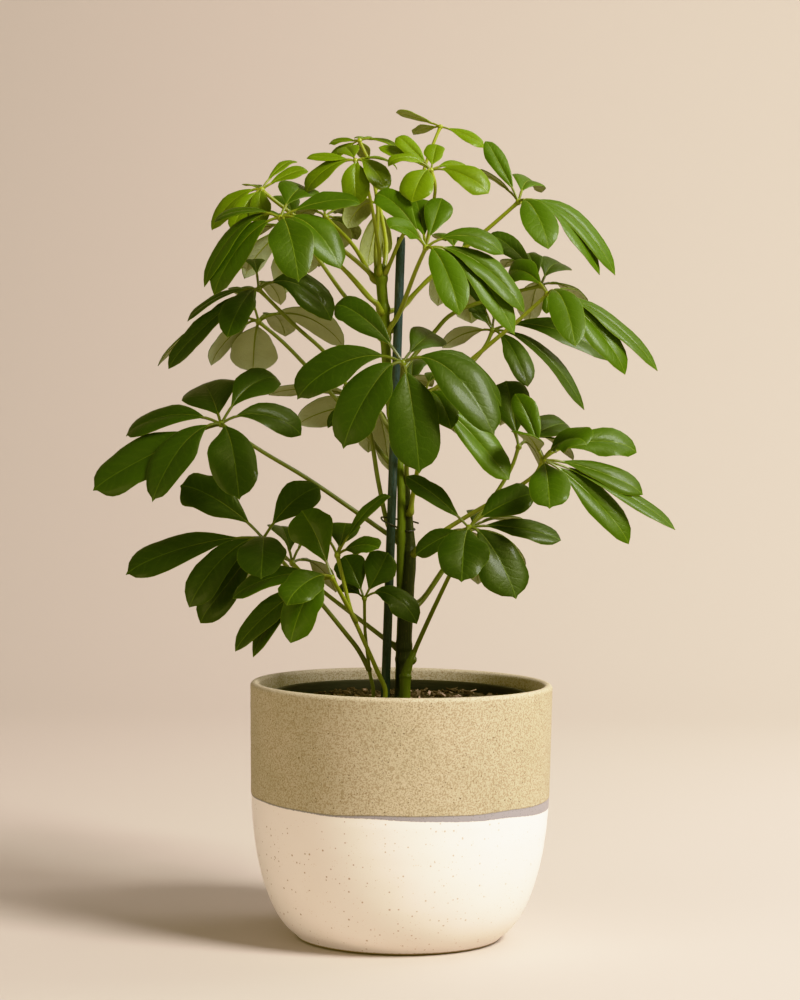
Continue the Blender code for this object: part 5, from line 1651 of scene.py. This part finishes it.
def grow_leaf(bm, layers, leaf, stems, leaflets, draw, settings):
    """Add one leaf: its petiole, the knot of its hub, and a blade and a stalk for each leaflet."""
    share = size_share(leaf)
    line = petiole_line(leaf, stems)
    tone = draw.random()
    add_tube(bm, round_ends(line, high=False), 10, layers, tone, part=2)
    hub = line[-1].xyz
    knot = bmesh.ops.create_icosphere(bm, subdivisions=2, radius=0.92 * HUB_RADIUS * share,
                                      matrix=Matrix.Translation(hub))["verts"]
    for vert in knot:
        out = (vert.co - hub) * (1 + 0.18 * noise.noise(vert.co * 900))
        vert.co = hub + out
        vert[layers.tone] = tone
        vert[layers.rib] = vert[layers.edge] = 1
        for loop in vert.link_loops:
            loop[layers.uv].uv = (0.5, 1)
        for face in vert.link_faces:
            face.material_index = 2
    for leaflet in leaflets:
        blade = Blade(leaflet, draw, settings, BLUNT[leaf.colour])
        # Painted light and shade: lit leaves get a higher tone, shaded leaves a lower one
        blade.tone += PAINTED_LIGHT_AND_SHADE.get(leaf.name, 0)
        blade.build(bm, layers, settings.thickness)
        girth = share * (0.55 + 0.3 * min(leaflet.half / (12 * MM), 1)) * MM
        add_tube(bm, round_ends(blade.stalk_route(girth), low=False), 7, layers, blade.tone, part=2)


class UMBRELLA_OT_foliage(bpy.types.Operator):
    """Grow every leaf: its petiole, its hub, and its stalked leaflets"""
    bl_idname = "umbrella.foliage"
    bl_label = "Foliage"

    def execute(self, context):
        settings = context.scene.umbrella_plant.leaves
        stems = stems_of_plant()
        stake = stake_route()
        thicket = Thicket()
        for owner, route in (*stems.items(), ("stake", stake), ("tie", tie_route(stems, stake))):
            thicket.add_route(owner, route)
        leaflets = plan_leaves(stems, thicket)
        draw = random.Random(settings.seed)
        finishes = leaf_finishes(settings)
        nodes = {}
        for leaf in LEAVES:
            nodes.setdefault(leaf.node or leaf.name, []).append(leaf)
        for node, leaves in nodes.items():
            bm = bmesh.new()
            layers = leaf_layers(bm)
            for leaf in leaves:
                grow_leaf(bm, layers, leaf, stems, leaflets[leaf.name], draw, settings)
            colour = leaves[0].colour
            new_piece(node + "_foliage", bm, finishes[colour], "leaf_" + colour, node)
        return {"FINISHED"}


# The stage in metres: the floor's front edge, the start, the radius and the steps of its curve up
# into the backdrop, the backdrop's top, and half the breadth
FLOOR_FRONT = -4.0
CURVE_START = 1.1
CURVE_RADIUS = 1.3
CURVE_STEPS = 24
BACKDROP_TOP = 4.0
STAGE_HALF = 5.0

# The key light's turn from the front, its rise and its distance, and the place that it is aimed at
KEY_TURN = math.radians(55)
KEY_RISE = math.radians(41)
KEY_DISTANCE = 2.3
KEY_AIM = Vector((0, 0, 0.22))

# The light that is shown as white, and (light, shown) points of the shoulder below it. Then blue has
# a toe, as (what the shoulder gives, shown) points: the greens of the leaves hold next to none.
BRIGHTEST = 2.5
SHOULDER = ((0.25, 0.25), (0.5, 0.5), (0.8, 0.765), (1.1, 0.915), (1.6, 0.985))
BLUE_TOE = ((0.008, 0.0028), (0.02, 0.0128), (0.04, 0.0352), (0.08, 0.08))

# The camera: its focal length, and how far it looks to the left and down, in pixels of a picture
# PICTURE_HEIGHT high. Its sensor is in millimetres.
PICTURE_HEIGHT = 1000
FOCAL = 2770
LOOKS_LEFT = 3.7
LOOKS_DOWN = 106.5
CAMERA_ROLL = 0.0122
SENSOR = 36


def set_floor(settings):
    """A floor that curves up into a backdrop."""
    turns = [math.pi / 2 * step / CURVE_STEPS for step in range(CURVE_STEPS + 1)]
    route = [(FLOOR_FRONT, 0)]
    route += [(CURVE_START + CURVE_RADIUS * math.sin(turn), CURVE_RADIUS * (1 - math.cos(turn)))
              for turn in turns]
    route.append((CURVE_START + CURVE_RADIUS, BACKDROP_TOP))
    bm = bmesh.new()
    verts = [bm.verts.new((-STAGE_HALF, y, z)) for y, z in route]
    edges = [bm.edges.new(pair) for pair in zip(verts, verts[1:])]
    swept = bmesh.ops.extrude_edge_only(bm, edges=edges)["geom"]
    moved = [item for item in swept if isinstance(item, bmesh.types.BMVert)]
    bmesh.ops.translate(bm, verts=moved, vec=(2 * STAGE_HALF, 0, 0))
    bmesh.ops.recalc_face_normals(bm, faces=bm.faces)
    if sum(face.normal.z for face in bm.faces) < 0:
        bmesh.ops.reverse_faces(bm, faces=bm.faces)
    finish = Finish("plain_floor", Specular_IOR_Level=0.15)
    # Its back is clear, so that a camera beyond the backdrop sees the plant
    beyond = finish.node("NewGeometry", "Backfacing")
    finish.feed(finish.shader.inputs["Alpha"], 1 - beyond)
    name = "floor_and_backdrop"
    floor = linked(name, new_mesh(name, bm, finish.paint(settings.floor, 0.9)))
    floor.data.shade_smooth()


def add_light(name, power, size, place_at, aim, colour):
    """A round, soft light of a size in metres, which stands at a place and is aimed at another."""
    light = bpy.data.lights.new(name, "AREA")
    light.shape = "DISK"
    light.energy = power
    light.size = size
    light.color = colour
    made = linked(name, light)
    made.location = place_at
    made.rotation_euler = (Vector(aim) - Vector(place_at)).to_track_quat("-Z", "Y").to_euler()


def set_lights(settings):
    """A key light from the right, a light on the backdrop, a warm low fill and even surroundings."""
    towards = Vector((math.sin(KEY_TURN) * math.cos(KEY_RISE), -math.cos(KEY_TURN) * math.cos(KEY_RISE),
                      math.sin(KEY_RISE)))
    add_light("key", settings.key, 0.85, towards * KEY_DISTANCE + KEY_AIM, KEY_AIM, (1.0, 0.965, 0.92))
    add_light("backdrop", settings.backdrop, 1.4, (1.0, 0.6, 1.5), (0.7, 2.2, 0.25), (1.0, 0.93, 0.87))
    add_light("fill", settings.fill, 1.2, (-1.7, -1.3, 0.45), (0, 0, 0.1), (1.0, 0.86, 0.68))
    world = bpy.data.worlds.new("soft_surroundings")
    world.use_nodes = True
    back = world.node_tree.nodes["Background"]
    back.inputs["Color"].default_value = (1.0, 0.86, 0.70, 1)
    back.inputs["Strength"].default_value = settings.surroundings
    bpy.context.scene.world = world


def set_view(view):
    """The plain view with a soft shoulder, which keeps the bright glaze from going flat."""
    view.view_transform = "Standard"
    view.use_curve_mapping = True
    curves = view.curve_mapping
    curves.white_level = (BRIGHTEST, BRIGHTEST, BRIGHTEST)
    shoulder = [(light / BRIGHTEST, shown) for light, shown in SHOULDER]
    for line, points in ((curves.curves[3], shoulder), (curves.curves[2], BLUE_TOE)):
        for point in points:
            line.points.new(*point)
        for point in line.points:
            point.handle_type = "AUTO_CLAMPED"
    curves.update()


def set_camera():
    """The camera stands at the layout's eye, looks a little down, and is turned a little."""
    camera = bpy.data.cameras.new("front_camera")
    camera.sensor_width = SENSOR
    camera.lens = FOCAL * SENSOR / PICTURE_HEIGHT
    camera.clip_start = 0.1
    camera.clip_end = 50
    made = linked("front_camera", camera)
    made.location = (0, -VIEW_DISTANCE, EYE)
    made.rotation_euler = (Matrix.Rotation(LOOKS_LEFT / FOCAL, 3, "Z")
                           @ Matrix.Rotation(math.pi / 2 - math.atan(LOOKS_DOWN / FOCAL), 3, "X")
                           @ Matrix.Rotation(CAMERA_ROLL, 3, "Z")).to_euler()
    bpy.context.scene.camera = made


class UMBRELLA_OT_stage(bpy.types.Operator):
    """Set the floor, the backdrop, the soft lights and the camera"""
    bl_idname = "umbrella.stage"
    bl_label = "Stage"

    def execute(self, context):
        settings = context.scene.umbrella_plant.stage
        set_floor(settings)
        set_lights(settings)
        set_view(context.scene.view_settings)
        set_camera()
        return {"FINISHED"}


class UMBRELLA_PT_panel(bpy.types.Panel):
    """Sidebar panel with the plant's settings and the pieces in their order"""
    bl_idname = "UMBRELLA_PT_panel"
    bl_label = "Umbrella Plant"
    bl_space_type = "VIEW_3D"
    bl_region_type = "UI"
    bl_category = "Umbrella Plant"

    def draw(self, context):
        settings = context.scene.umbrella_plant
        for label in ("planter", "stems", "leaves", "stage"):
            box = self.layout.box()
            box.label(text=label.capitalize())
            group = getattr(settings, label)
            for key in group.__annotations__:
                box.prop(group, key)
        for operator in OPERATORS:
            self.layout.operator(operator.bl_idname)


OPERATORS = (UMBRELLA_OT_planter, UMBRELLA_OT_nursery_pot, UMBRELLA_OT_soil, UMBRELLA_OT_stems,
             UMBRELLA_OT_stake, UMBRELLA_OT_tie, UMBRELLA_OT_foliage, UMBRELLA_OT_stage)
CLASSES = (PlanterSettings, StemSettings, LeafSettings, StageSettings, PlantSettings,
           *OPERATORS, UMBRELLA_PT_panel)


def register():
    for made in CLASSES:
        bpy.utils.register_class(made)
    bpy.types.Scene.umbrella_plant = PointerProperty(type=PlantSettings)


def unregister():
    del bpy.types.Scene.umbrella_plant
    for made in reversed(CLASSES):
        bpy.utils.unregister_class(made)


def main():
    register()
    bpy.ops.umbrella.planter()
    bpy.ops.umbrella.nursery_pot()
    bpy.ops.umbrella.soil()
    bpy.ops.umbrella.stems()
    bpy.ops.umbrella.stake()
    bpy.ops.umbrella.tie()
    bpy.ops.umbrella.foliage()
    bpy.ops.umbrella.stage()


if __name__ == "__main__":
    main()
